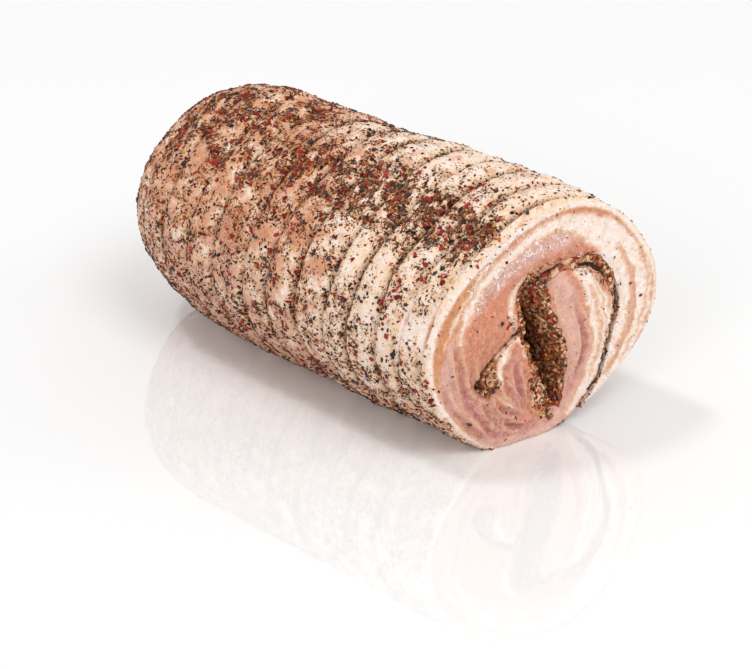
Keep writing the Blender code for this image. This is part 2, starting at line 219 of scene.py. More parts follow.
def triangle_corners(data: bpy.types.Mesh) -> tuple[Array, Array]:
    """Read a mesh as triangles.

    Args:
        data: the mesh.

    Returns:
        Corner numbers of each triangle, and the places of those corners.
    """
    data.calc_loop_triangles()
    triangles = np.empty(len(data.loop_triangles) * 3, np.int32)
    data.loop_triangles.foreach_get("vertices", triangles)
    triangles = triangles.reshape(-1, 3)
    return triangles, mesh_points(data)[triangles]


def mesh_points(data: bpy.types.Mesh) -> Array:
    """Read the places of a mesh's corners.

    Args:
        data: the mesh.

    Returns:
        One place in each row.
    """
    points = np.empty(len(data.vertices) * 3)
    data.vertices.foreach_get("co", points)
    return points.reshape(-1, 3)


def mesh_normals(data: bpy.types.Mesh) -> Array:
    """Read the normals at a mesh's corners.

    Args:
        data: the mesh.

    Returns:
        One normal in each row.
    """
    normals = np.empty(len(data.vertices) * 3, np.float32)
    data.vertex_normals.foreach_get("vector", normals)
    return normals.reshape(-1, 3).astype(float)


def set_points(data: bpy.types.Mesh, points: Array) -> None:
    """Move a mesh's corners, and keep them inside the box of the solids.

    Args:
        data: the mesh.
        points: new places, one in each row.
    """
    low, high = (np.array(corner) for corner in CAD_BOX)
    kept = np.clip(points, low + BOX_MARGIN, high - BOX_MARGIN)
    data.vertices.foreach_set("co", kept.ravel())
    data.update()


def set_mask(data: bpy.types.Mesh, name: str, values: Array) -> None:
    """Store one number for each corner of a mesh under a name, for its material to read."""
    mask = data.attributes.new(name, "FLOAT", "POINT")
    mask.data.foreach_set("value", values.astype(np.float32))


def boolean(obj: Object, others: Sequence[Object], operation: str) -> None:
    """Join, cut or meet an object with others, and drop those.

    Args:
        obj: object that is changed.
        others: objects it is combined with, in turn.
        operation: UNION, DIFFERENCE or INTERSECT.
    """
    for other in others:
        step = obj.modifiers.new(operation.lower(), "BOOLEAN")
        step.operation = operation
        step.solver = "MANIFOLD"
        step.object = other
        graph = bpy.context.evaluated_depsgraph_get()
        made = bpy.data.meshes.new_from_object(obj.evaluated_get(graph))
        obj.modifiers.clear()
        obj.data = made
        bpy.data.objects.remove(other, do_unlink=True)


# ------------ outer form
@dataclass(frozen=True)
class Lump:
    """Place where the slab stands out of the plain oval, or falls short of it."""

    along: float
    degrees: float
    reach: float
    spread: float
    height: float


@dataclass(frozen=True)
class Flap:
    """Torn scrap of meat that stands up on top near the far end."""

    tip: float = 0.063
    length: float = 0.026
    height: float = 0.0034
    angle: float = math.radians(77.0)
    spread: float = math.radians(9.0)
    edge: float = 0.003

    def lift(self, along: Array, angle: Array) -> Array:
        """How far the scrap stands out.

        Args:
            along: distances from the far end.
            angle: angles round the roll.

        Returns:
            Heights in metres.
        """
        before = self.tip - along
        rise = smooth_step(1.0 - np.maximum(before, 0.0) / self.length)
        fall = np.clip(np.where(before >= 0.0, 1.0, 1.0 + before / self.edge), 0.0, 1.0)
        side = np.exp(-(turn_between(angle, self.angle) / self.spread) ** 2)
        return np.where(before < self.length, self.height * rise * fall * side, 0.0)


@dataclass(frozen=True)
class RollForm:
    """Outer form of the roll, by the sizes and formulas of its solid, for whole arrays.

    A place on it is a distance along it from the far end and an angle round it. The angle runs
    from the right, as one faces the cut, over the top.
    """

    length: float = 0.239
    long_half: tuple[float, ...] = (0.0622, 0.0639, 0.0656, 0.0649)
    short_half: tuple[float, ...] = (0.0590, 0.0573, 0.0573, 0.0574)
    lean: float = math.radians(33.0)
    squareness: float = 2.39
    mean_radius: float = 0.060
    bend: float = 0.001
    cut_skew: float = 0.249
    skew_start: float = 0.3
    end_depth: float = 0.065
    end_flat: float = 0.50
    end_dome: float = 0.004
    resting_cut: float = 0.0013
    ties: tuple[float, ...] = (0.020, 0.040, 0.060, 0.079, 0.101, 0.121,
                               0.142, 0.163, 0.1815, 0.1995, 0.2170, 0.2345)
    tie_depth: float = 0.0021
    tie_wander: float = 0.0012
    wander_waves: float = 1.7
    wander_shift: float = 2.3
    bulge_height: float = 0.0012
    bulge_size: float = 0.032
    lumps: tuple[Lump, ...] = (
        Lump(0.239, 103.0, 0.090, 24.0, 0.0021),
        Lump(0.239, 163.0, 0.090, 14.0, -0.0016),
        Lump(0.239, 51.0, 0.090, 10.0, -0.0010),
        Lump(0.239, -45.0, 0.050, 17.0, -0.0012),
        Lump(0.239, -72.0, 0.050, 14.0, -0.0012),
        Lump(0.075, 74.0, 0.036, 24.0, -0.0020),
        Lump(0.050, 68.0, 0.026, 20.0, -0.0012),
        Lump(0.122, 61.0, 0.034, 24.0, -0.0034),
    )
    flap: Flap = Flap()

    def between(self, values: Sequence[float], share: Array) -> Array:
        """Read evenly spaced values at shares from 0 to 1, smoothly.

        Args:
            values: the values, far end first.
            share: where they are read.

        Returns:
            One value for each share.
        """
        table = np.asarray(values)
        place = np.clip(share, 0.0, 1.0) * (len(values) - 1)
        index = np.minimum(place.astype(int), len(values) - 2)
        part = smooth_step(place - index)
        return table[index] * (1.0 - part) + table[index + 1] * part

    def half_height(self, share: Array) -> Array:
        """Height of the oval's middle above its lowest point, at shares of the length."""
        return np.hypot(self.between(self.long_half, share) * math.sin(self.lean),
                        self.between(self.short_half, share) * math.cos(self.lean))

    def tie_pair(self, along: Array, angle: Array) -> tuple[Array, Array, Array]:
        """The grooves before and after each place.

        Args:
            along: distances from the far end.
            angle: angles round the roll.

        Returns:
            Place of the groove before, of the groove after, and the number of the one after.
        """
        ties = np.asarray(self.ties)
        index = np.clip(np.searchsorted(ties, along, side="right"), 1, len(ties) - 1)
        start, stop = (ties[number] + self.tie_wander
                       * np.sin(self.wander_waves * angle + self.wander_shift * number)
                       for number in (index - 1, index))
        return start, stop, index

    def lift(self, along: Array, angle: Array) -> Array:
        """How far the surface stands out of the plain oval.

        Args:
            along: distances from the far end.
            angle: angles round the roll.

        Returns:
            Heights in metres.
        """
        start, stop, _ = self.tie_pair(along, angle)
        cushion = np.sqrt(np.abs(np.sin(math.pi * (along - start) / (stop - start)))) - 1.0
        lift = self.tie_depth * cushion * smooth_step(along / self.ties[0] - 0.25)
        for lump in self.lumps:
            lengthwise = (along - lump.along) / lump.reach
            around = turn_between(angle, math.radians(lump.degrees)) / math.radians(lump.spread)
            lift = lift + lump.height * np.exp(-lengthwise ** 2 - around ** 2)
        ring = np.stack([along, self.mean_radius * np.cos(angle), self.mean_radius * np.sin(angle)], -1)
        lift = lift + self.bulge_height * soft_noise(ring, self.bulge_size)
        return lift + self.flap.lift(along, angle)

    def oval(self, share: Array, angle: Array) -> Array:
        """Plain oval's (y, z) about its middle.

        Args:
            share: shares of the length.
            angle: angles round the roll.

        Returns:
            One (y, z) in each row.
        """
        own = angle - self.lean
        power = 2.0 / self.squareness
        wide, tall = (self.between(halves, share) * np.sign(turn(own)) * np.abs(turn(own)) ** power
                      for halves, turn in ((self.long_half, np.cos), (self.short_half, np.sin)))
        return np.stack([wide * math.cos(self.lean) - tall * math.sin(self.lean),
                         wide * math.sin(self.lean) + tall * math.cos(self.lean)], -1)

    def point(self, along: Array, angle: Array, scale: Array | float, lift: Array | float) -> Array:
        """Points of the roll's sections, before the roll is put into its place.

        Args:
            along: distances from the far end.
            angle: angles round the roll.
            scale: size of the section as a share of the oval.
            lift: how far the point stands out of it.

        Returns:
            One point in each row.
        """
        along, angle = np.broadcast_arrays(np.asarray(along, float), np.asarray(angle, float))
        share = along / self.length
        flat = self.oval(share, angle)
        flat = flat * (scale + lift / np.linalg.norm(flat, axis=-1))[..., None]
        skewed = np.maximum(0.0, (share - self.skew_start) / (1.0 - self.skew_start))
        skew = self.cut_skew * flat[..., 0] * skewed
        sideways = self.bend * (1.0 - 4.0 * (share - 0.5) ** 2)
        height = flat[..., 1] + self.half_height(share) - self.resting_cut
        return np.stack([along - 0.5 * self.length + skew, flat[..., 0] + sideways,
                         np.maximum(height, 0.0)], -1)

    def end_scale(self, along: Array) -> Array:
        """Size of the section near the rounded far end, as a share of the oval."""
        rest = np.clip((self.end_depth - along) / self.end_depth, 0.0, 1.0)
        return self.end_flat + (1.0 - self.end_flat) * np.sqrt(1.0 - rest * rest)

    def skin(self, along: Array, angle: Array, inset: float = 0.0) -> Array:
        """Points of the slab's outer surface, or of one that lies inside it by inset."""
        return self.point(along, angle, self.end_scale(along), self.lift(along, angle) - inset)

    def on_cut(self, points: Array) -> tuple[Array, Array, Array]:
        """Find where points lie as seen on the cut.

        Args:
            points: places in the part's frame.

        Returns:
            Their y, their z with the bottom of the roll at 0, and how far behind the cut they lie.
        """
        local = points - ROLL_PLACE
        behind = 0.5 * self.length + self.cut_skew * local[:, 1] - local[:, 0]
        return local[:, 1], local[:, 2] + self.resting_cut, behind

    def place_of(self, points: Array) -> tuple[Array, Array, Array]:
        """Find where points lie on the roll.

        Args:
            points: places in the part's frame.

        Returns:
            Distance along the roll, angle round it, and distance from the middle line as a
            share of the oval's radius there.
        """
        local = points - ROLL_PLACE
        rest = self.length * (1.0 - self.skew_start)
        slope = self.cut_skew * local[:, 1]
        whole = local[:, 0] + 0.5 * self.length
        skewed = (whole + slope * self.skew_start * self.length / rest) / (1.0 + slope / rest)
        along = np.where(skewed > self.skew_start * self.length, skewed, whole)
        share = np.clip(along / self.length, 0.0, 1.0)
        across = local[:, 1] - self.bend * (1.0 - 4.0 * (share - 0.5) ** 2)
        up = local[:, 2] - self.half_height(share) + self.resting_cut
        wide = across * math.cos(self.lean) + up * math.sin(self.lean)
        tall = up * math.cos(self.lean) - across * math.sin(self.lean)
        powered = [np.sign(part) * np.abs(part) ** (self.squareness / 2.0)
                   for part in (wide / self.between(self.long_half, share),
                                tall / self.between(self.short_half, share))]
        angle = np.arctan2(powered[1], powered[0]) + self.lean
        radius = np.linalg.norm(self.oval(share, angle), axis=-1)
        return along, angle, np.hypot(across, up) / radius


# ------------ lines on the cut
@dataclass(frozen=True)
class CutLine:
    """Smooth line on the cut through (y, z, half width), with the bottom of the roll at z 0."""

    points: Table

    def curve(self, span: Array, share: Array) -> Array:
        """Points of the line.

        Args:
            span: numbers of the spans that they lie on.
            share: how far along its span each one lies, from 0 to 1.

        Returns:
            One (y, z, half width) in each row.
        """
        given = np.array((self.points[0],) + self.points + (self.points[-1],))
        before, start, stop, after = (given[span + shift] for shift in range(4))
        t = share[:, None]
        return 0.5 * (2.0 * start + (stop - before) * t
                      + (2.0 * before - 5.0 * start + 4.0 * stop - after) * t * t
                      + (3.0 * start - before - 3.0 * stop + after) * t ** 3)

    def spline(self, step: float) -> Array:
        """Points of the line about a step apart.

        Args:
            step: distance between them in metres.

        Returns:
            One (y, z, half width) in each row.
        """
        given = np.array(self.points)
        runs = np.linalg.norm(np.diff(given[:, :2], axis=0), axis=1)
        pieces = np.maximum(1, np.round(runs / step)).astype(int)
        share = np.concatenate([np.arange(count) / count for count in pieces])
        return np.concatenate([self.curve(np.repeat(np.arange(len(pieces)), pieces), share), given[-1:]])

    def length(self) -> float:
        """Length of the straight runs between the line's points."""
        given = np.array(self.points)[:, :2]
        return float(np.linalg.norm(np.diff(given, axis=0), axis=1).sum())

    def even(self, count: int) -> Array:
        """A given number of points, spread over the line's spans by their place in the list.

        Args:
            count: number of points.

        Returns:
            One (y, z, half width) in each row.
        """
        place = np.linspace(0.0, len(self.points) - 1.0, count)
        span = np.minimum(place.astype(int), len(self.points) - 2)
        return self.curve(span, place - span)

    def room(self, across: Array, up: Array) -> Array:
        """Distance from places on the cut to the side of the band, negative inside it.

        Args:
            across: their y.
            up: their z.

        Returns:
            Distances in metres.
        """
        line = self.spline(0.003)
        start, stop = line[:-1], line[1:]
        run = stop[:, :2] - start[:, :2]
        from_start = np.stack([across, up], -1)[:, None, :] - start[None, :, :2]
        share = np.clip((from_start * run).sum(-1) / (run * run).sum(-1), 0.0, 1.0)
        gap = np.linalg.norm(from_start - share[..., None] * run, axis=-1)
        half = start[:, 2] + share * (stop - start)[:, 2]
        return (gap - half).min(1)


def mm_line(*points: tuple[float, float, float]) -> CutLine:
    """Write a line with its (y, z, half width) in millimetres."""
    return CutLine(tuple((y * MM, z * MM, half * MM) for y, z, half in points))


HOLLOW_LINE = mm_line(
    (-3, 88, 6), (-6, 79, 9.2), (-4.5, 68, 9.2), (-0.4, 53, 10.1), (4.4, 38, 9.3), (7.4, 25, 6.4),
    (7.4, 17, 5), (6.8, 13.5, 3.4))
HOLLOW_DEEP = mm_line(
    (-9.8, 81, 4.4), (-9.2, 74.5, 6.2), (-5.8, 65, 7.6), (0.2, 53, 8.6), (5, 40.5, 8.4),
    (7.8, 30, 7), (7.8, 22, 6), (7.4, 16.5, 4.4))
SEAM_LINE = mm_line(
    (10, -6, 1.3), (21.8, 9.2, 1.3), (33, 22.5, 1.5), (38.5, 42, 1.3), (42.2, 58.5, 1.7),
    (37.8, 74, 2.7), (29, 85, 3.4), (18, 87.2, 3), (6, 86.2, 3.2), (-10, 80.5, 3))
BRANCH_LINE = mm_line(
    (-2.4, 61, 1.8), (-13, 59.8, 1.8), (-24, 53, 1.8), (-32, 45, 2.6), (-33.5, 37.5, 3.2),
    (-29, 31.5, 2))

CRACK_LINES = (
    mm_line((-15, 59.6, 0.2), (-24.5, 54.5, 0.6), (-32.5, 46.8, 0.9), (-35, 40, 0.8), (-33, 34.5, 0.2)),
    mm_line((41.5, 69, 0.2), (42.4, 59, 0.6), (40, 50, 0.6), (38.5, 42, 0.1)),
    mm_line((39.8, 50, 0.1), (38.5, 42, 0.3), (37, 34, 0.3), (34.5, 26, 0.8), (31, 20, 0.6),
            (25, 13, 0.2)),
    mm_line((-8, 83.5, 0.3), (2, 86.8, 0.4), (11, 88, 0.3)),
    mm_line((21.5, 85, 0.4), (29, 82.5, 0.9), (35, 76, 0.4)),
)

# Where the herbs lie open: in the hollow, at the bend of the seam and at the end of the branch.
OPEN_HERBS = (
    HOLLOW_LINE,
    mm_line((21, 86, 3), (30, 82, 4), (37, 74, 2)),
    mm_line((-30, 47, 2), (-32, 40, 3), (-30, 34, 2)),
    mm_line((38.5, 42, 1), (36, 30, 2), (29, 17, 2), (20, 6, 2)),
)


@dataclass(frozen=True)
class HerbBands:
    """The three herb layers as ribbons that run back through the roll."""

    roll: RollForm
    seam_half: float = 0.0013
    taper: float = 0.080
    turn: float = 0.012  # the hollow slants from its mouth to the slit behind it in this
    overshoot: float = 0.014
    stagger: float = 0.0017
    far_overshoot: float = 0.042
    step: float = 0.0012
    fine_depth: float = 0.066
    stray: float = 0.0007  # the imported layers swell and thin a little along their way
    stray_size: float = 0.0038

    def half(self, face_half: Array, depth: float) -> Array:
        """Half thickness of a layer at a depth behind the cut, from the one that it has on the cut."""
        return self.seam_half + (face_half - self.seam_half) * (1.0 - smooth_step(depth / self.taper))

    def depths(self, extra: float) -> list[float]:
        """Depths of a ribbon's sections: close together near the cut, wider apart behind.

        Args:
            extra: how much longer it is at each end.

        Returns:
            Depths behind the cut.
        """
        fine = np.arange(0.0, self.fine_depth, self.step)
        coarse = np.arange(self.fine_depth, self.roll.length, 0.010)
        ends = (-self.overshoot - extra, self.roll.length + self.far_overshoot + extra)
        return [ends[0], *fine, *coarse, ends[1]]

    def ribbon(self, mouth: CutLine, deep: CutLine, depths: Sequence[float], shrink: float,
               least: float = 0.0) -> Object:
        """Closed ribbon along a line of the cut.

        Args:
            mouth: its middle on the cut.
            deep: its middle further back.
            depths: depths of its sections.
            shrink: how much slimmer and shorter it is than the layer.
            least: half thickness that it doesn't go below.

        Returns:
            An object, still in the roll's own place.
        """
        count = round(mouth.length() / self.step)
        near, far = mouth.even(count), deep.even(count)
        rows = []
        for depth in depths:
            turned = min(1.0, max(0.0, depth / self.turn))
            points = near + (far - near) * turned
            ahead = np.gradient(points[:, :2], axis=0)
            ahead /= np.linalg.norm(ahead, axis=1, keepdims=True)
            across = np.stack([-ahead[:, 1], ahead[:, 0]], -1)
            middle = points[:, :2].copy()
            middle[0] += ahead[0] * shrink
            middle[-1] -= ahead[-1] * shrink
            spots = np.stack([np.full(count, depth), middle[:, 0], middle[:, 1]], -1)
            half = self.half(points[:, 2], depth) * (1.0 + 0.20 * soft_noise(spots, self.stray_size, 3.0))
            half = np.maximum(half - shrink, least)[:, None]
            middle += across * (self.stray * soft_noise(spots, self.stray_size))[:, None]
            ring = np.concatenate([middle + across * half, (middle - across * half)[::-1]])
            x = 0.5 * self.roll.length + self.roll.cut_skew * ring[:, 0] - depth
            rows.append(np.stack([x, ring[:, 0], ring[:, 1] - self.roll.resting_cut], -1))
        size = 2 * count
        corners = np.concatenate(rows) + ROLL_PLACE
        faces = ring_quads(len(rows), size)
        cap = [(step, step + 1, size - 2 - step, size - 1 - step) for step in range(count - 1)]
        last = (len(rows) - 1) * size
        faces += [face[::-1] for face in cap]
        faces += [[last + corner for corner in face] for face in cap]
        return grid_mesh("ribbon", corners, faces)

    def layers(self, shrink: float) -> list[Object]:
        """The hollow, the seam and the branch, each a little longer than the one before.

        Args:
            shrink: how much slimmer and shorter they are than the layers.

        Returns:
            One ribbon for each.
        """
        lines = ((HOLLOW_LINE, HOLLOW_DEEP), (SEAM_LINE, SEAM_LINE), (BRANCH_LINE, BRANCH_LINE))
        return [self.ribbon(mouth, deep, self.depths(self.stagger * number), shrink)
                for number, (mouth, deep) in enumerate(lines)]


# ------------ relief of the cut
@dataclass(frozen=True)
class CutRelief:
    """How far the cut stands out of its plane: swellings, folds and sunken seams."""

    swellings: Table = (
        (-0.036, 0.064, 0.017, 0.0030),
        (-0.012, 0.098, 0.014, 0.0014),
        (0.022, 0.045, 0.011, 0.0022),
        (-0.020, 0.026, 0.012, 0.0024),
        (0.036, 0.094, 0.014, -0.0012),
        (0.012, 0.084, 0.007, -0.0020),
        (-0.050, 0.034, 0.010, -0.0012),
        (-0.003, 0.024, 0.008, -0.0036),
    )
    fold_pitch: float = 0.0105
    fold_height: float = 0.0011
    fold_middle: tuple[float, float] = (-0.028, 0.022)
    fold_spread: float = 0.020
    fold_slant: float = 0.45
    fold_stray: float = 0.004
    stray_size: float = 0.020
    creases: tuple[CutLine, ...] = (
        mm_line((-50.5, 66, 0), (-48, 52, 0.4), (-44, 39, 0.5), (-38, 26, 0)),
        mm_line((-41, 52, 0), (-38.5, 41, 0.5), (-33, 30, 0.8), (-27, 18, 0.6), (-21, 9, 0)),
        mm_line((-30, 31, 0), (-25, 24, 0.5), (-18, 19, 0.4), (-10, 15, 0)),
        mm_line((-56, 44, 0), (-50, 29, 0.5), (-41, 17, 0.6), (-31, 7, 0)),
        mm_line((-16.5, 47, 0), (-14.5, 34, 0.4), (-10.5, 21, 0)),
        mm_line((-46, 46, 0), (-42.5, 31, 0.3), (-34, 18, 0.4), (-27, 8, 0)),
        mm_line((-23, 40, 0), (-21, 31, 0.3), (-15.5, 25, 0)),
        mm_line((-24, 14, 0), (-15, 10, 0.4), (-5, 8.5, 0)),
        mm_line((16.5, 70, 0), (20, 56, 0.3), (21.5, 42, 0.3), (19, 26, 0)),
    )
    crease_depth: float = 0.0015
    crease_reach: float = 0.0011
    crease_fade: float = 0.008
    rim_width: float = 0.055
    rim_drop: float = 0.0030
    seam_dip: float = 0.0011
    seam_reach: float = 0.0016
    crease_height: float = 0.0007
    crease_size: float = 0.0034
    grain_height: float = 0.00022
    grain_size: float = 0.0019

    def plain(self, across: Array, up: Array) -> Array:
        """Swellings and folds, as the solid has them.

        Args:
            across: y on the cut.
            up: z on the cut.

        Returns:
            Heights in metres.
        """
        height = np.zeros(len(across))
        for mid_across, mid_up, spread, lift in self.swellings:
            height += lift * np.exp(-((across - mid_across) ** 2 + (up - mid_up) ** 2) / spread ** 2)
        flat = np.stack([across, up, np.zeros(len(up))], -1)
        fold = across + self.fold_slant * up + self.fold_stray * soft_noise(flat, self.stray_size)
        return height + (self.fold_height * np.sin(2.0 * math.pi * fold / self.fold_pitch)
                         * self.folded(across, up))

    def folded(self, across: Array, up: Array) -> Array:
        """How strongly the meat is folded, 1 in the middle of the folds."""
        away = np.hypot(across - self.fold_middle[0], up - self.fold_middle[1])
        return np.exp(-(away / self.fold_spread) ** 2)

    def creased(self, across: Array, up: Array) -> tuple[Array, Array]:
        """How far places lie in a crease of the folded meat, and on the crest beside one.

        Args:
            across: y on the cut.
            up: z on the cut, with the bottom of the roll at 0.

        Returns:
            Two values from 0 to 1 for each place.
        """
        valley, crest = np.zeros(len(across)), np.zeros(len(across))
        for line in self.creases:
            gap = np.maximum(line.room(across, up), 0.0) / self.crease_reach
            start, stop = (np.array(line.points[end][:2]) for end in (0, -1))
            ends = np.minimum(*(np.hypot(across - end[0], up - end[1]) for end in (start, stop)))
            fade = smooth_step(ends / self.crease_fade)
            valley = np.maximum(valley, fade * np.exp(-gap ** 2))
            crest = np.maximum(crest, fade * np.exp(-(gap - 2.0) ** 2))
        return valley, crest * (1.0 - valley)

    def height(self, across: Array, up: Array, share: Array) -> Array:
        """Whole relief of the cut.

        Args:
            across: y on the cut.
            up: z on the cut.
            share: distance from the middle as a share of the radius.

        Returns:
            Heights in metres.
        """
        height = self.plain(across, up)
        flat = np.stack([across, up, np.zeros(len(up))], -1)
        listed = up + RollForm.resting_cut
        for line in (HOLLOW_LINE, SEAM_LINE, BRANCH_LINE):
            away = np.maximum(line.room(across, listed), 0.0) / self.seam_reach
            height -= self.seam_dip * np.exp(-away ** 2)
        valley, crest = self.creased(across, listed)
        height += self.crease_depth * (0.45 * crest - valley)
        lumpy = 0.4 + self.folded(across, up)
        height += self.crease_height * soft_noise(flat, self.crease_size, 7.0) * lumpy
        height += self.grain_height * soft_noise(flat, self.grain_size, 3.0)
        rim = np.clip((share - 1.0 + self.rim_width) / self.rim_width, 0.0, 1.0)
        return height * (1.0 - rim)


# ------------ bands of tissue on the cut
class Tissue(Enum):
    """Kinds of tissue that show on the cut, each with the masks that it sets."""

    FAT = {"fat": 1.0}
    TAN_LEAN = {"fat": -1.0, "tan": 1.0, "mauve": 0.0, "pale": 0.0}
    MAUVE_LEAN = {"fat": -1.0, "tan": 0.0, "mauve": 1.0, "pale": 0.0}
    PALE_LEAN = {"fat": -1.0, "tan": 0.0, "mauve": 0.2, "pale": 1.0}
    HERBED = {"herbed": 1.0}


@dataclass(frozen=True)
class Band:
    """One band or patch of tissue on the cut: a line with a width that softens at its edge."""

    tissue: Tissue
    line: CutLine
    soft: float = 0.0010
    strength: float = 1.0

    def paint(self, masks: dict[str, Array], across: Array, up: Array) -> None:
        """Lay this band over what the masks hold.

        Args:
            masks: values of each mask, changed in place.
            across: y of each corner on the cut.
            up: z of each corner, with the bottom of the roll at 0.
        """
        cover = self.strength * smooth_step(0.5 - self.line.room(across, up) / (2.0 * self.soft))
        for name, value in self.tissue.value.items():
            masks[name] += (value - masks[name]) * cover


def band(tissue: Tissue, *points: tuple[float, float, float], soft: float = 1.0,
         strength: float = 1.0) -> Band:
    """Write a band with its sizes in millimetres.

    Args:
        tissue: what it is.
        *points: (y, z, half width) along it.
        soft: how far its edge softens.
        strength: how far it covers what is below.

    Returns:
        The band in metres.
    """
    return Band(tissue, mm_line(*points), soft * MM, strength)


# Masks of the cut between its bands: lean meat, a little tanned.
CUT_BASE = {"fat": -0.95, "tan": 0.30, "mauve": 0.0, "pale": 0.0, "herbed": 0.0}

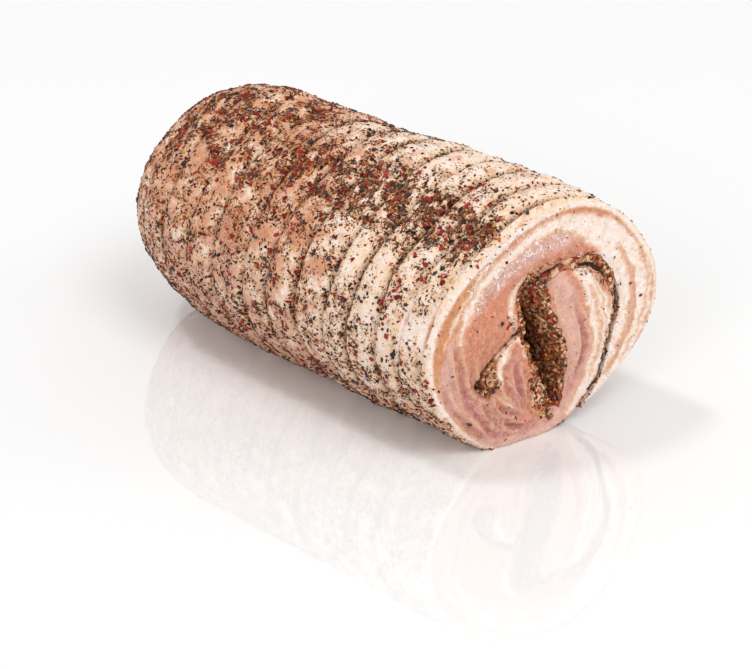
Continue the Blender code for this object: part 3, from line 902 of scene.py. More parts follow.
# From the outside in, the slab's layers wind from the lower right over the top and the left to
# the tongue in the middle. Later bands lie over earlier ones.
CUT_BANDS = (
    # The upper muscle is paler than the big one on the left, and wet.
    band(Tissue.PALE_LEAN, (-42, 80, 3), (-30, 92, 5), (-14, 100, 6), (2, 103, 5), (14, 102, 4),
         soft=4.0, strength=0.75),
    # Bloody lean in folds at the lower left, and its pale run along the bottom.
    band(Tissue.MAUVE_LEAN, (-47, 40, 5), (-40, 28, 7), (-30, 18, 7), (-18, 14, 5),
         soft=5.0, strength=0.75),
    band(Tissue.MAUVE_LEAN, (-19, 48, 2), (-17, 38, 4), (-16, 28, 5), (-14, 18, 4),
         soft=3.5, strength=0.6),
    band(Tissue.PALE_LEAN, (-46, 14, 4), (-34, 7, 5), (-14, 3.5, 5), (6, 4, 5), (22, 11, 4), soft=4.0),
    band(Tissue.PALE_LEAN, (-52, 36, 1.5), (-46, 24, 3), (-36, 15, 3), (-26, 10, 2),
         soft=3.0, strength=0.7),
    band(Tissue.MAUVE_LEAN, (-30, 12, 1), (-22, 9, 2), (-12, 9, 2.4), (-4, 8, 1.2),
         soft=2.5, strength=0.7),
    band(Tissue.MAUVE_LEAN, (-40, 17, 1), (-34, 12, 2), (-27, 9, 1.4), soft=2.5, strength=0.6),
    # Fine membranes between the folds.
    band(Tissue.FAT, (-49, 72, 0.4), (-50, 58, 0.9), (-48, 46, 1), (-44, 34, 0.6),
         soft=1.4, strength=0.5),
    band(Tissue.FAT, (-39, 46, 0.3), (-37, 36, 0.7), (-31, 26, 0.8), (-25, 16, 0.7), (-20, 10, 0.3),
         soft=1.3, strength=0.5),
    band(Tissue.FAT, (-54, 34, 0.8), (-46, 22, 0.9), (-36, 12, 0.8), soft=1.6, strength=0.45),
    band(Tissue.FAT, (-24, 30, 0.4), (-20, 22, 0.7), (-12, 17, 0.6), (-6, 14, 0.3),
         soft=1.2, strength=0.45),
    # Outer wrap on the left: dried lean under the fat, split by a pale line.
    band(Tissue.PALE_LEAN, (-51, 70, 2), (-54, 56, 3.5), (-53, 42, 4), (-48, 30, 3),
         soft=3.5, strength=0.8),
    band(Tissue.TAN_LEAN, (-59, 40, 1.4), (-59.5, 52, 2.6), (-58, 62, 3.4), (-53, 74, 3.8), (-44, 88, 3.8),
         (-33, 101, 3.6), (-22, 110, 3), (-10, 115.4, 1.8), soft=1.8, strength=0.95),
    band(Tissue.TAN_LEAN, (-12, 114.8, 1.6), (-2, 116.8, 1.8), (8, 117.8, 1.8), (23.2, 114.8, 1.6),
         (36.2, 107.8, 1.4), (46, 98.8, 1), soft=1.6, strength=0.55),
    band(Tissue.FAT, (-56, 62, 0.3), (-50.5, 76, 0.7), (-41.5, 89, 0.8), (-31, 101, 0.6), (-20, 110, 0.3),
         soft=0.9, strength=0.85),
    # Thick white fat between the wraps, widest at the upper right, and down the right side.
    band(Tissue.FAT, (-47.5, 66, 0.8), (-45, 76.5, 1.8), (-36, 89.5, 2.4), (-21.6, 101.8, 2.6),
         (-7.1, 108.6, 2.8), (7.5, 111.5, 3.6), (20.3, 107, 5.6), (33.4, 98.4, 8), (43.7, 85.3, 10),
         (49.6, 70, 11), (49.5, 54.4, 11.5), (45, 40, 10), (38, 27, 8), (28, 15, 6), soft=2.6),
    band(Tissue.TAN_LEAN, (36.2, 108.4, 0.8), (46.5, 98.6, 1.2), (54.2, 84.5, 1.1), (58.2, 68.1, 0.9),
         (57.4, 55, 0.9), (53, 42, 0.8), (45.4, 30.6, 0.6), soft=1.2, strength=0.5),
    band(Tissue.PALE_LEAN, (41, 92, 0.6), (47.5, 78, 1.5), (50, 63, 2), (48.6, 49, 1.9), (43.6, 36, 1.4),
         (36, 23, 0.8), soft=1.8, strength=0.7),
    band(Tissue.TAN_LEAN, (49.5, 76, 0.3), (52, 63, 0.6), (50.8, 50, 0.7), (45.6, 37, 0.6), (38, 25, 0.4),
         soft=0.9, strength=0.7),
    # Inner wrap beside the hollow: the pink tongue, then pale fat up to the seam.
    band(Tissue.PALE_LEAN, (8, 84, 5), (11, 74, 6), (15, 58, 6), (18, 42, 6), (18, 28, 5.6), (12, 14, 5),
         soft=2.4, strength=0.9),
    band(Tissue.MAUVE_LEAN, (20.5, 56, 1), (21.5, 44, 2), (20, 30, 2), (16, 20, 1.4),
         soft=2.4, strength=0.5),
    band(Tissue.FAT, (20, 83.5, 2.4), (26.6, 72.5, 4.8), (31, 60, 6.2), (32, 46, 6), (29.4, 32, 4.6),
         (24.4, 20, 3.4), (15.6, 9, 2), soft=2.2),
    band(Tissue.TAN_LEAN, (25.6, 74, 0.8), (29.6, 62, 1.6), (31.2, 49, 1.8), (30.2, 36, 1.4),
         (26, 24, 0.8), soft=2.0, strength=0.5),
    band(Tissue.MAUVE_LEAN, (28, 76, 0.2), (32.4, 66, 0.5), (34.8, 56, 0.5), (35.4, 46, 0.3),
         soft=0.8, strength=0.6),
    band(Tissue.FAT, (5, 78, 0.4), (8, 67, 0.8), (11.6, 56, 0.8), (14.4, 45, 0.5),
         soft=1.2, strength=0.7),
    # Cream fat along the left side of the hollow and in the lip below the branch, then the places
    # where the cut is coated with herbs.
    band(Tissue.FAT, (-8, 92, 0.8), (-17, 83, 1.6), (-19.5, 72, 2), (-17, 62, 2.2), (-12.5, 54, 1.4),
         (-10, 46, 0.5), soft=1.8, strength=0.85),
    band(Tissue.FAT, (-16.5, 55.5, 1), (-22.5, 49.5, 1.6), (-25.5, 42, 1.6), (-25, 36, 0.8),
         soft=1.4, strength=0.9),
    band(Tissue.HERBED, (-24, 72, 0.6), (-19, 66, 2.4), (-17, 59, 2.6), (-24, 54.5, 1.6),
         soft=2.0, strength=0.75),
    band(Tissue.HERBED, (-24, 53, 1.2), (-29, 47, 2.6), (-29.5, 39, 3.4), (-27, 33, 1.6), soft=1.8),
    band(Tissue.HERBED, (-13, 86, 1.2), (-6, 91, 1.6), (3, 92, 1.2), (11, 89, 0.8),
         soft=1.4, strength=0.85),
    band(Tissue.HERBED, (17, 90, 0.8), (25, 89, 1.6), (33, 83.5, 2), (38.5, 75, 1.2),
         soft=1.5, strength=0.85),
    band(Tissue.HERBED, (18, 84, 0.6), (26, 80.5, 1.8), (32, 75, 1.2), (36, 66, 0.4),
         soft=1.6, strength=0.8),
    band(Tissue.HERBED, (-4.5, 40, 1.6), (-3.5, 32, 3.4), (-1, 24, 4), (1, 16, 4.2), (5, 10.5, 3),
         soft=1.8),
    band(Tissue.HERBED, (41.5, 66, 1.6), (41, 56, 2.2), (38, 46, 3), (35.6, 34, 2.2), (31.5, 21, 1.8),
         (22, 9, 1.4), soft=1.4, strength=0.85),
)

# Bare patches of lean meat on the side: distance along the roll, angle, and their reach in both.
MEAT_PATCHES = ((0.1335, 143.0, 0.0085, 7.0), (0.1540, 154.0, 0.0070, 5.0), (0.0900, 160.0, 0.0080, 8.0))

# Where the cut is wet enough to glisten.
WET_LINES = (
    mm_line((-38, 82, 4), (-24, 94, 5), (-8, 101, 5), (10, 104, 4)),
    mm_line((-44, 88, 2), (-30, 103, 3), (-14, 113, 3), (4, 117, 2)),
    mm_line((18, 90, 3), (30, 84, 3)),
)

# Width of the pale fat just inside the outline, at every 45 degrees from the right over the top.
OUTLINE_FAT = (0.0030, 0.0042, 0.0050, 0.0046, 0.0042, 0.0030, 0.0016, 0.0022, 0.0030)


# ------------ finishes
# A mix of colours: its inputs are 0, 6 and 7, and its output is number 2.
RGBA = {"data_type": "RGBA", "out": 2}


@dataclass(frozen=True)
class PorkBelly:
    """Pork belly, salted, rolled and sliced across: soft, wet and slightly translucent."""

    # To the eye: creamy fat and rosy to tanned lean with fine fibres, a dull skin under oil and herb juices,
    # and a film of moisture that glints in small folds where the cut is wettest, with painted highlights
    # along them.
    name: str = "pork_belly_rolled_and_sliced"
    fat: str = "#f7ebe4"  # belly fat, creamy white
    warm_fat: str = "#efcba8"  # the same where the rub has tinted it, and as painted shade round the tied grooves
    edge: str = "#dfae8e"  # thin fat over lean meat at the edge of a band
    pink: str = "#cb7c67"  # moist lean meat
    tan: str = "#cd8850"  # lean meat dried and tanned by the rub
    mauve: str = "#b97470"  # darker, bloodier lean meat in the folds, also laid in the creases as painted shade
    pale: str = "#e2b5a6"  # lean meat with fine fat through it, also laid on the crests beside the creases as painted light
    streak: str = "#efc6ac"  # fine fibres and membranes
    painted_glint: str = "#fdf6f2"  # painted white highlights along the wet folds
    coating: str = "#b06a3c"  # herbs and juice on the cut
    wash: str = "#b87c42"  # oil and herb juice between the spices
    stain: str = "#6a3015"  # wet herb dust where the rub is thick
    groove_herbs_and_shade: str = "#4a211a"  # juices and herb crumbs in the tied grooves, darkened further there as painted shade
    speck: str = "#38100a"  # ground pepper and herb dust
    brown_speck: str = "#7d4620"  # rubbed leaves
    red_speck: str = "#96240f"  # ground red pepper
    edge_noise: float = 2.4 * MM  # wavy edge between fat and lean
    clouding: float = 5.0 * MM  # soft changes of tone in meat and fat
    blotches: float = 2.6 * MM  # drops of oil and juice
    grit: float = 1.1 * MM  # clots of herb dust
    crumbs: float = 1.3 * MM  # chopped herbs pressed onto the cut
    fibre: float = 0.9 * MM  # muscle fibre bundles
    granule: float = 1.1 * MM  # beads of wet fat
    worms: float = 3.6 * MM  # wormlike folds of the wet cut, drawn coarser than they are to show
    dust: float = 0.85 * MM  # spacing of the pepper dust, drawn coarser than it is to show
    relief: float = 0.30 * MM  # height of fibres and beads
    film: float = 0.9 * MM  # height of the moisture on the wormlike folds

    def lean(self, tree: Tree, place: Socket, tone: Socket, mask: dict[str, Socket]) -> tuple[Socket, Socket]:
        """Lean meat: four hues by place, then fibres.

        Args:
            tree: node tree of the material.
            place: places on the object.
            tone: soft changes of tone.
            mask: the masks of the mesh.

        Returns:
            Its colour and its fibres.
        """
        colour = linear(self.pink)
        for kind, tint in (("tan", self.tan), ("pale", self.pale), ("mauve", self.mauve)):
            colour = add(tree, "Mix", {0: mask[kind], 6: colour, 7: linear(tint)}, **RGBA)
        shade = add(tree, "MapRange", {"Value": tone, "From Min": 0.3, "From Max": 0.7,
                                       "To Min": 0.74, "To Max": 1.20})
        colour = add(tree, "VectorMath", {0: colour, "Scale": shade}, operation="SCALE")
        stretched = add(tree, "Mapping", {"Vector": place, "Scale": (1.0, 1.0, 0.35),
                                          "Rotation": (0.5, 0.0, 0.0)})
        fibres = add(tree, "TexNoise", {"Vector": stretched, "Scale": 1.0 / self.fibre, "Detail": 3.0,
                                        "Distortion": 0.6})
        streaks = add(tree, "MapRange", {"Value": fibres, "From Min": 0.48, "From Max": 0.85, "To Max": 0.5})
        return add(tree, "Mix", {0: streaks, 6: colour, 7: linear(self.streak)}, **RGBA), fibres

    def herbed(self, tree: Tree, place: Socket, edge: Socket, mask: Socket) -> tuple[Socket, Socket]:
        """Herbs pressed onto the cut beside the layers: crumbs in three hues.

        Args:
            tree: node tree of the material.
            place: places on the object.
            edge: noise that frays their edge.
            mask: where they lie.

        Returns:
            How far they cover the meat, and their colour.
        """
        crumbs = add(tree, "TexVoronoi", {"Vector": place, "Scale": 1.0 / self.crumbs}, out="Color")
        pick = add(tree, "SeparateColor", {0: crumbs}).node.outputs
        coated = add(tree, "Mix", {0: pick[0], 6: linear(self.coating), 7: linear(self.warm_fat)}, **RGBA)
        oily = add(tree, "MapRange", {"Value": pick[1], "From Min": 0.62, "From Max": 0.78})
        coated = add(tree, "Mix", {0: oily, 6: coated, 7: linear(self.stain)}, **RGBA)
        cover = add(tree, "Math", {0: edge, 1: 3.2, 2: -2.1}, operation="MULTIPLY_ADD")
        cover = add(tree, "Math", {0: mask, 1: 1.9, 2: cover}, operation="MULTIPLY_ADD", use_clamp=True)
        return add(tree, "Math", {0: cover, 1: mask}, operation="MULTIPLY"), coated

    def juices(self, tree: Tree, blotch: Socket, grit: Socket,
               mask: dict[str, Socket]) -> list[tuple[Socket, tuple]]:
        """Oil and meat juices between the spices, wet dust where they are thick, herb crumbs and painted
        shade in the grooves.

        Args:
            tree: node tree of the material.
            blotch: noise of the drops.
            grit: noise of the clots.
            mask: the masks of the mesh.

        Returns:
            How far each covers what is below it, and its colour.
        """
        spread = add(tree, "MapRange", {"Value": blotch, "From Min": 0.40, "From Max": 0.60})
        washed = add(tree, "Math", {0: mask["rub"], 1: 1.7}, operation="MULTIPLY")
        washed = add(tree, "Math", {0: washed, 1: spread}, operation="MULTIPLY", use_clamp=True)
        washed = add(tree, "Math", {0: washed, 1: 0.38}, operation="MULTIPLY")
        dusty = add(tree, "Math", {0: mask["rub"], 1: 0.20, 2: grit}, operation="MULTIPLY_ADD")
        stained = add(tree, "MapRange", {"Value": dusty, "From Min": 0.60, "From Max": 0.70, "To Max": 0.9})
        # The tied grooves darken with herb crumbs and with painted shade.
        herbs_and_shade = add(tree, "MapRange", {"Value": spread, "To Min": 0.40, "To Max": 1.2})
        herbs_and_shade = add(tree, "Math", {0: mask["groove"], 1: herbs_and_shade}, operation="MULTIPLY", use_clamp=True)
        return [(washed, linear(self.wash)), (stained, linear(self.stain)), (herbs_and_shade, linear(self.groove_herbs_and_shade))]

    def specks(self, tree: Tree, place: Socket, rub: Socket) -> list[tuple[Socket, tuple]]:
        """Ground pepper, rubbed leaves and ground red pepper: one dot in some cells of a fine net.

        Args:
            tree: node tree of the material.
            place: places on the object.
            rub: how thick the rub is.

        Returns:
            How far each kind covers what is below it, and its colour.
        """
        layers = []
        for size, number, tint in ((1.0, 0.75, self.speck), (1.5, 0.55, self.brown_speck),
                                   (1.9, 0.24, self.red_speck)):
            shift = add(tree, "VectorMath", {0: place, 1: (size, 0.0, 0.0)}, operation="ADD")
            distance = add(tree, "TexVoronoi", {"Vector": shift, "Scale": 1.0 / (self.dust * size)})
            chance = add(tree, "SeparateColor", {0: distance.node.outputs["Color"]}).node.outputs
            wanted = add(tree, "Math", {0: rub, 1: number, 2: 0.008}, operation="MULTIPLY_ADD")
            present = add(tree, "Math", {0: chance[0], 1: wanted}, operation="LESS_THAN")
            reach = add(tree, "MapRange", {"Value": chance[1], "To Min": 0.22, "To Max": 0.46})
            dot = add(tree, "Math", {0: reach, 1: distance}, operation="SUBTRACT")
            dot = add(tree, "MapRange", {"Value": dot, "From Min": 0.0, "From Max": 0.12, "To Max": 0.95})
            layers.append((add(tree, "Math", {0: dot, 1: present}, operation="MULTIPLY"), linear(tint)))
        return layers

    def material(self) -> bpy.types.Material:
        """Build the material.

        Returns:
            A material that reads the masks of the slab's mesh.
        """
        made, tree, shader = new_material(self.name)
        place = add(tree, "TexCoord", out="Object")
        mask = {name: add(tree, "Attribute", attribute_name=name, out="Fac")
                for name in ("fat", "tan", "mauve", "pale", "herbed", "groove", "rub", "warm", "wet")}
        edge, tone, blotch, grit, beads = (
            add(tree, "TexNoise", {"Vector": place, "Scale": 1.0 / size, "Detail": detail,
                                   "Roughness": rough})
            for size, detail, rough in ((self.edge_noise, 5.0, 0.62), (self.clouding, 5.0, 0.65),
                                        (self.blotches, 5.0, 0.75), (self.grit, 4.0, 0.7),
                                        (self.granule, 2.0, 0.55)))
        lean, fibres = self.lean(tree, place, tone, mask)

        # Wavy, finely frayed edge between fat and lean. Fat is creamy, warmer outside and in soft
        # clouds, and thin over the lean at its edge.
        frayed = add(tree, "Math", {0: edge, 1: 2.6, 2: -1.3}, operation="MULTIPLY_ADD")
        frayed = add(tree, "Math", {0: frayed, 1: mask["fat"]}, operation="ADD")
        is_fat = add(tree, "MapRange", {"Value": frayed, "From Min": -0.95, "From Max": 0.95})
        thin, thick = (add(tree, "MapRange", {"Value": is_fat, "From Min": low, "From Max": low + 0.5})
                       for low in (0.0, 0.5))
        clouds = add(tree, "MapRange", {"Value": tone, "From Min": 0.38, "From Max": 0.72, "To Max": 0.8})
        clouds = add(tree, "Math", {0: mask["warm"], 1: clouds}, operation="ADD", use_clamp=True)
        fat = add(tree, "Mix", {0: clouds, 6: linear(self.fat), 7: linear(self.warm_fat)}, **RGBA)

        # Wormlike folds where the cut glistens, with painted highlights along them as thin near-white lines.
        worms = add(tree, "TexNoise", {"Vector": place, "Scale": 1.0 / self.worms, "Detail": 0.6,
                                       "Distortion": 1.1})
        worms = add(tree, "Math", {0: worms, 1: 0.5}, operation="SUBTRACT")
        worms = add(tree, "Math", {0: worms}, operation="ABSOLUTE")
        glint_lines = add(tree, "MapRange", {"Value": worms, "From Min": 0.012, "From Max": 0.045,
                                       "To Min": 1.0, "To Max": 0.0})
        soaked = add(tree, "MapRange", {"Value": mask["wet"], "From Min": 0.60, "From Max": 0.95,
                                        "To Max": 0.8})
        glint_lines = add(tree, "Math", {0: glint_lines, 1: soaked}, operation="MULTIPLY")

        # Each layer lies over the ones before it.
        colour = lean
        for share, tint in ((thin, linear(self.edge)), (thick, fat),
                            self.herbed(tree, place, edge, mask["herbed"]),
                            *self.juices(tree, blotch, grit, mask), *self.specks(tree, place, mask["rub"]),
                            (glint_lines, linear(self.painted_glint))):
            colour = add(tree, "Mix", {0: share, 6: colour, 7: tint}, **RGBA)

        # Relief: fibres, beads of moisture and the wormlike folds.
        worms = add(tree, "Math", {0: worms, 1: mask["wet"]}, operation="MULTIPLY")
        relief = add(tree, "Math", {0: fibres, 1: 0.8, 2: beads}, operation="MULTIPLY_ADD")
        folds = add(tree, "Math", {0: worms, 1: soaked}, operation="MULTIPLY")
        relief = add(tree, "Math", {0: folds, 1: -9.0, 2: relief}, operation="MULTIPLY_ADD")
        bump = add(tree, "Bump", {"Height": relief, "Strength": 1.0, "Distance": self.relief})
        film = add(tree, "Math", {0: worms, 1: 10.0, 2: beads}, operation="MULTIPLY_ADD")
        coat = add(tree, "Bump", {"Height": film, "Strength": 1.0, "Distance": self.film, "Normal": bump})
        rough = add(tree, "MapRange", {"Value": tone, "From Min": 0.3, "From Max": 0.7,
                                       "To Min": 0.42, "To Max": 0.62})
        feed(tree, shader, {
            "Base Color": colour, "Normal": bump, "Coat Normal": coat, "Roughness": rough, "IOR": 1.40,
            "Specular IOR Level": 0.15, "Coat Weight": mask["wet"], "Coat Roughness": 0.07,
            "Coat IOR": 1.55, "Subsurface Weight": 0.08, "Subsurface Radius": (1.0, 0.45, 0.30),
            "Subsurface Scale": 0.002})
        return made


@dataclass(frozen=True)
class PackedHerbs:
    """Chopped herbs, garlic and pepper, packed between the turns: crumbly, oily and dark."""

    # To the eye: dull crumbs from rust brown to cream with a few oily glints and red and green
    # bits, smeared with meat on the cut, and darkened by painted shade the deeper they lie in the hollow.
    name: str = "herb_rub_packed"
    deep: str = "#6e2a12"  # oily shadow between the crumbs
    crumb: str = "#e39a62"  # crumbs of herb, garlic and meat
    pale: str = "#f0cda4"  # the palest crumbs
    green: str = "#54381a"  # bits of leaf
    red: str = "#96240f"  # crushed red pepper
    meat: str = "#ecbc9f"  # meat and fat smeared over the herbs
    dark: str = "#200704"  # cracks, and painted shade in the depth of the hollow
    size: float = 1.6 * MM  # crumb size
    clots: float = 2.2 * MM  # where crumbs stick together
    relief: float = 0.8 * MM  # how far they stand out

    def material(self) -> bpy.types.Material:
        """Build the material.

        Returns:
            A material of crumbs in several hues.
        """
        made, tree, shader = new_material(self.name)
        place = add(tree, "TexCoord", out="Object")
        meaty, shaded = (add(tree, "Attribute", attribute_name=name, out="Fac")
                         for name in ("meaty", "shaded"))
        distance = add(tree, "TexVoronoi", {"Vector": place, "Scale": 1.0 / self.size})
        pick = add(tree, "SeparateColor", {0: distance.node.outputs["Color"]}).node.outputs
        clots = add(tree, "TexNoise", {"Vector": place, "Scale": 1.0 / self.clots, "Detail": 4.0,
                                       "Roughness": 0.65})
        layers = [(add(tree, "MapRange", {"Value": clots, "From Min": 0.36, "From Max": 0.64}), self.crumb)]
        for channel, low, high, tint in ((0, 0.66, 0.72, self.pale), (1, 0.80, 0.84, self.green),
                                         (2, 0.88, 0.91, self.red)):
            layers.append((add(tree, "MapRange", {"Value": pick[channel], "From Min": low, "From Max": high,
                                                  "To Max": 0.85}), tint))
        smear = add(tree, "Math", {0: clots, 1: -2.4, 2: 1.2}, operation="MULTIPLY_ADD")
        smear = add(tree, "Math", {0: meaty, 1: smear}, operation="ADD")
        smear = add(tree, "MapRange", {"Value": smear, "From Min": 0.35, "From Max": 0.75})
        smear = add(tree, "Math", {0: meaty, 1: smear}, operation="MULTIPLY")
        colour = linear(self.deep)
        # Last come meat smeared over the herbs, then the dark cracks and the painted shade of the hollow.
        for share, tint in (*layers, (smear, self.meat), (shaded, self.dark)):
            colour = add(tree, "Mix", {0: share, 6: colour, 7: linear(tint)}, **RGBA)
        relief = add(tree, "Math", {0: clots, 1: distance}, operation="SUBTRACT")
        bump = add(tree, "Bump", {"Height": relief, "Strength": 1.0, "Distance": self.relief})
        rough = add(tree, "MapRange", {"Value": clots, "To Min": 0.35, "To Max": 0.65})
        feed(tree, shader, {"Base Color": colour, "Normal": bump, "Roughness": rough,
                            "Specular IOR Level": 0.2, "Coat Weight": 0.15, "Coat Roughness": 0.10})
        return made


@dataclass(frozen=True)
class SpiceFinish:
    """Finish of one kind of spice: its bits run from a dark to a light hue."""

    name: str
    dark: str
    light: str
    roughness: float
    coat: float  # film of oil on the bits
    mottle: float = 0.8 * MM  # change of hue within a bit
    relief: float = 0.2 * MM  # how rough its surface is

    def material(self) -> bpy.types.Material:
        """Build the material.

        Returns:
            A material that reads each bit's own tint.
        """
        made, tree, shader = new_material(self.name)
        place = add(tree, "TexCoord", out="Object")
        tint = add(tree, "Attribute", attribute_name="tint", out="Fac")
        patch = add(tree, "TexNoise", {"Vector": place, "Scale": 1.0 / self.mottle, "Detail": 2.0})
        share = add(tree, "Math", {0: patch, 1: 0.8, 2: -0.4}, operation="MULTIPLY_ADD")
        share = add(tree, "Math", {0: share, 1: tint}, operation="ADD", use_clamp=True)
        colour = add(tree, "Mix", {0: share, 6: linear(self.dark), 7: linear(self.light)}, **RGBA)
        bump = add(tree, "Bump", {"Height": patch, "Strength": 1.0, "Distance": self.relief})
        feed(tree, shader, {"Base Color": colour, "Normal": bump, "Roughness": self.roughness,
                            "Specular IOR Level": 0.10, "Coat Weight": self.coat, "Coat Roughness": 0.10})
        return made


# ------------ fat and rub on the outside
@dataclass(frozen=True)
class Zone:
    """Range with soft edges: in metres along the roll, in degrees round it, or of a share."""

    start: float = -math.inf
    rise: float = 1.0
    stop: float = math.inf
    fall: float = 1.0

    def share(self, values: Array) -> Array:
        """How far values lie inside it, from 0 to 1."""
        return smooth_step((values - self.start) / self.rise) * smooth_step((self.stop - values) / self.fall)


def whole_turn(angle: Array) -> Array:
    """Angles in degrees from 0 to 360."""
    return np.degrees(angle) % 360.0


def from_below(angle: Array) -> Array:
    """Angles in degrees from -90 at the bottom, over the right, the top and the left, to 270."""
    return (whole_turn(angle) + 90.0) % 360.0 - 90.0


@dataclass(frozen=True)
class OutsideFat:
    """How fatty the outside is: -1 for lean meat, 1 for fat. Most of the fat is at the near end."""

    base: float = -0.38
    fat: float = 1.40
    near: Zone = Zone(0.108, 0.075)
    top_along: Zone = Zone(0.095, 0.025)
    top_round: Zone = Zone(-80.0, 80.0, 114.0, 20.0)
    streak: float = 0.35  # fat low on the left of the far half
    streak_round: Zone = Zone(150.0, 25.0, 210.0, 20.0)
    belly: float = 0.65  # lean meat low at the near end
    belly_along: Zone = Zone(0.10, 0.05)
    belly_round: Zone = Zone(192.0, 24.0, 300.0, 30.0)
    bare: float = 1.6  # lean meat laid bare in patches
    squeezed: float = 1.1  # fat that the netting pushed up beside its grooves
    squeezed_shift: float = 0.0015
    squeezed_width: float = 1.8
    contrast: float = 1.3
    cloud: tuple[float, float] = (1.7, 0.0085)  # strength and size of each noise
    marbling: tuple[float, float] = (0.9, 0.0034)

    def at(self, slab: "PorkSlab", along: Array, angle: Array, points: Array) -> Array:
        """Read it for many places.

        Args:
            slab: the slab, for its grooves.
            along: distances from the far end.
            angle: angles round the roll.
            points: the same places in the part's frame.

        Returns:
            One value for each place.
        """
        degrees, near = whole_turn(angle), self.near.share(along)
        top = self.top_along.share(along) * self.top_round.share(from_below(angle))
        fat = self.base + self.fat * np.maximum(near, top)
        fat += self.streak * self.streak_round.share(degrees) * (1.0 - near)
        fat -= self.belly * self.belly_round.share(degrees) * self.belly_along.share(along)
        for middle, centre, reach, spread in MEAT_PATCHES:
            away = ((along - middle) / reach) ** 2 + ((degrees - centre) / spread) ** 2
            fat -= self.bare * np.exp(-away ** 2)
        grooves = slab.furrows(along + self.squeezed_shift, angle, self.squeezed_width)
        fat += self.squeezed * (1.0 - near) * grooves
        return (self.contrast * fat + self.cloud[0] * soft_noise(points, self.cloud[1], 8.0)
                + self.marbling[0] * soft_noise(points, self.marbling[1], 1.0))


@dataclass(frozen=True)
class RubCover:
    """How thick the spices lie on the outside, 1 where they are thickest: on a ridge at the top left."""

    ridge: float = 0.88
    ridge_angle: float = math.radians(119.0)
    ridge_spread: float = math.radians(12.0)
    ridge_along: Zone = Zone(0.070, 0.05)
    far: float = 0.47
    near_along: Zone = Zone(0.085, 0.035)
    far_round: Zone = Zone(66.0, 16.0, 150.0, 26.0)
    base: float = 0.26
    below: float = 0.04  # how much less lies underneath
    below_round: Zone = Zone(210.0, 30.0)
    wiped: float = 0.72  # how much less lies on the top right of the near half
    wiped_along: Zone = Zone(0.140, 0.02)
    wiped_round: Zone = Zone(-70.0, 70.0, 104.0, 8.0)
    rim: float = 0.85  # how much less lies on the rim of the cut
    rim_start: float = 0.011
    rim_rise: float = 0.007
    rim_round: Zone = Zone(stop=165.0, fall=15.0)
    gap: float = 0.75  # how much less lies in the gaps of the rub
    gap_reach: float = 0.0085
    # Distance along the roll and angle of each gap, and its reach round the roll.
    gaps: Table = ((0.1725, 146.0, 9.0), (0.190, 152.0, 17.0), (0.207, 180.0, 14.0))
    clump: tuple[float, float] = (1.5, 0.0080)  # strength and size of each noise
    pinch: tuple[float, float] = (1.6, 0.0030)
    least: float = 0.04

    def at(self, length: float, along: Array, angle: Array, points: Array) -> Array:
        """Read it for many places.

        Args:
            length: length of the roll.
            along: distances from the far end.
            angle: angles round the roll.
            points: the same places in the part's frame.

        Returns:
            One value for each place.
        """
        degrees, signed = whole_turn(angle), from_below(angle)
        ridge = np.exp(-(turn_between(angle, self.ridge_angle) / self.ridge_spread) ** 2)
        ridge = ridge * self.ridge_along.share(along)
        far = 1.0 - self.near_along.share(along)
        thick = np.maximum(self.ridge * ridge, self.far * far * self.far_round.share(degrees))
        thick = np.maximum(thick, self.base - self.below * self.below_round.share(degrees))
        thick = thick * (1.0 - self.wiped * (self.wiped_along.share(along) * self.wiped_round.share(signed)))
        rim = smooth_step((along - length + self.rim_start) / self.rim_rise) * self.rim_round.share(degrees)
        thick = thick * (1.0 - self.rim * rim)
        for middle, centre, reach in self.gaps:
            away = ((along - middle) / self.gap_reach) ** 4 + ((degrees - centre) / reach) ** 4
            thick = thick * (1.0 - self.gap * np.exp(-away))
        clumps = (1.0 + self.clump[0] * soft_noise(points, self.clump[1], 2.0)
                  + self.pinch[0] * soft_noise(points, self.pinch[1], 4.0))
        return np.clip(thick * np.maximum(clumps, self.least), 0.0, 1.0)


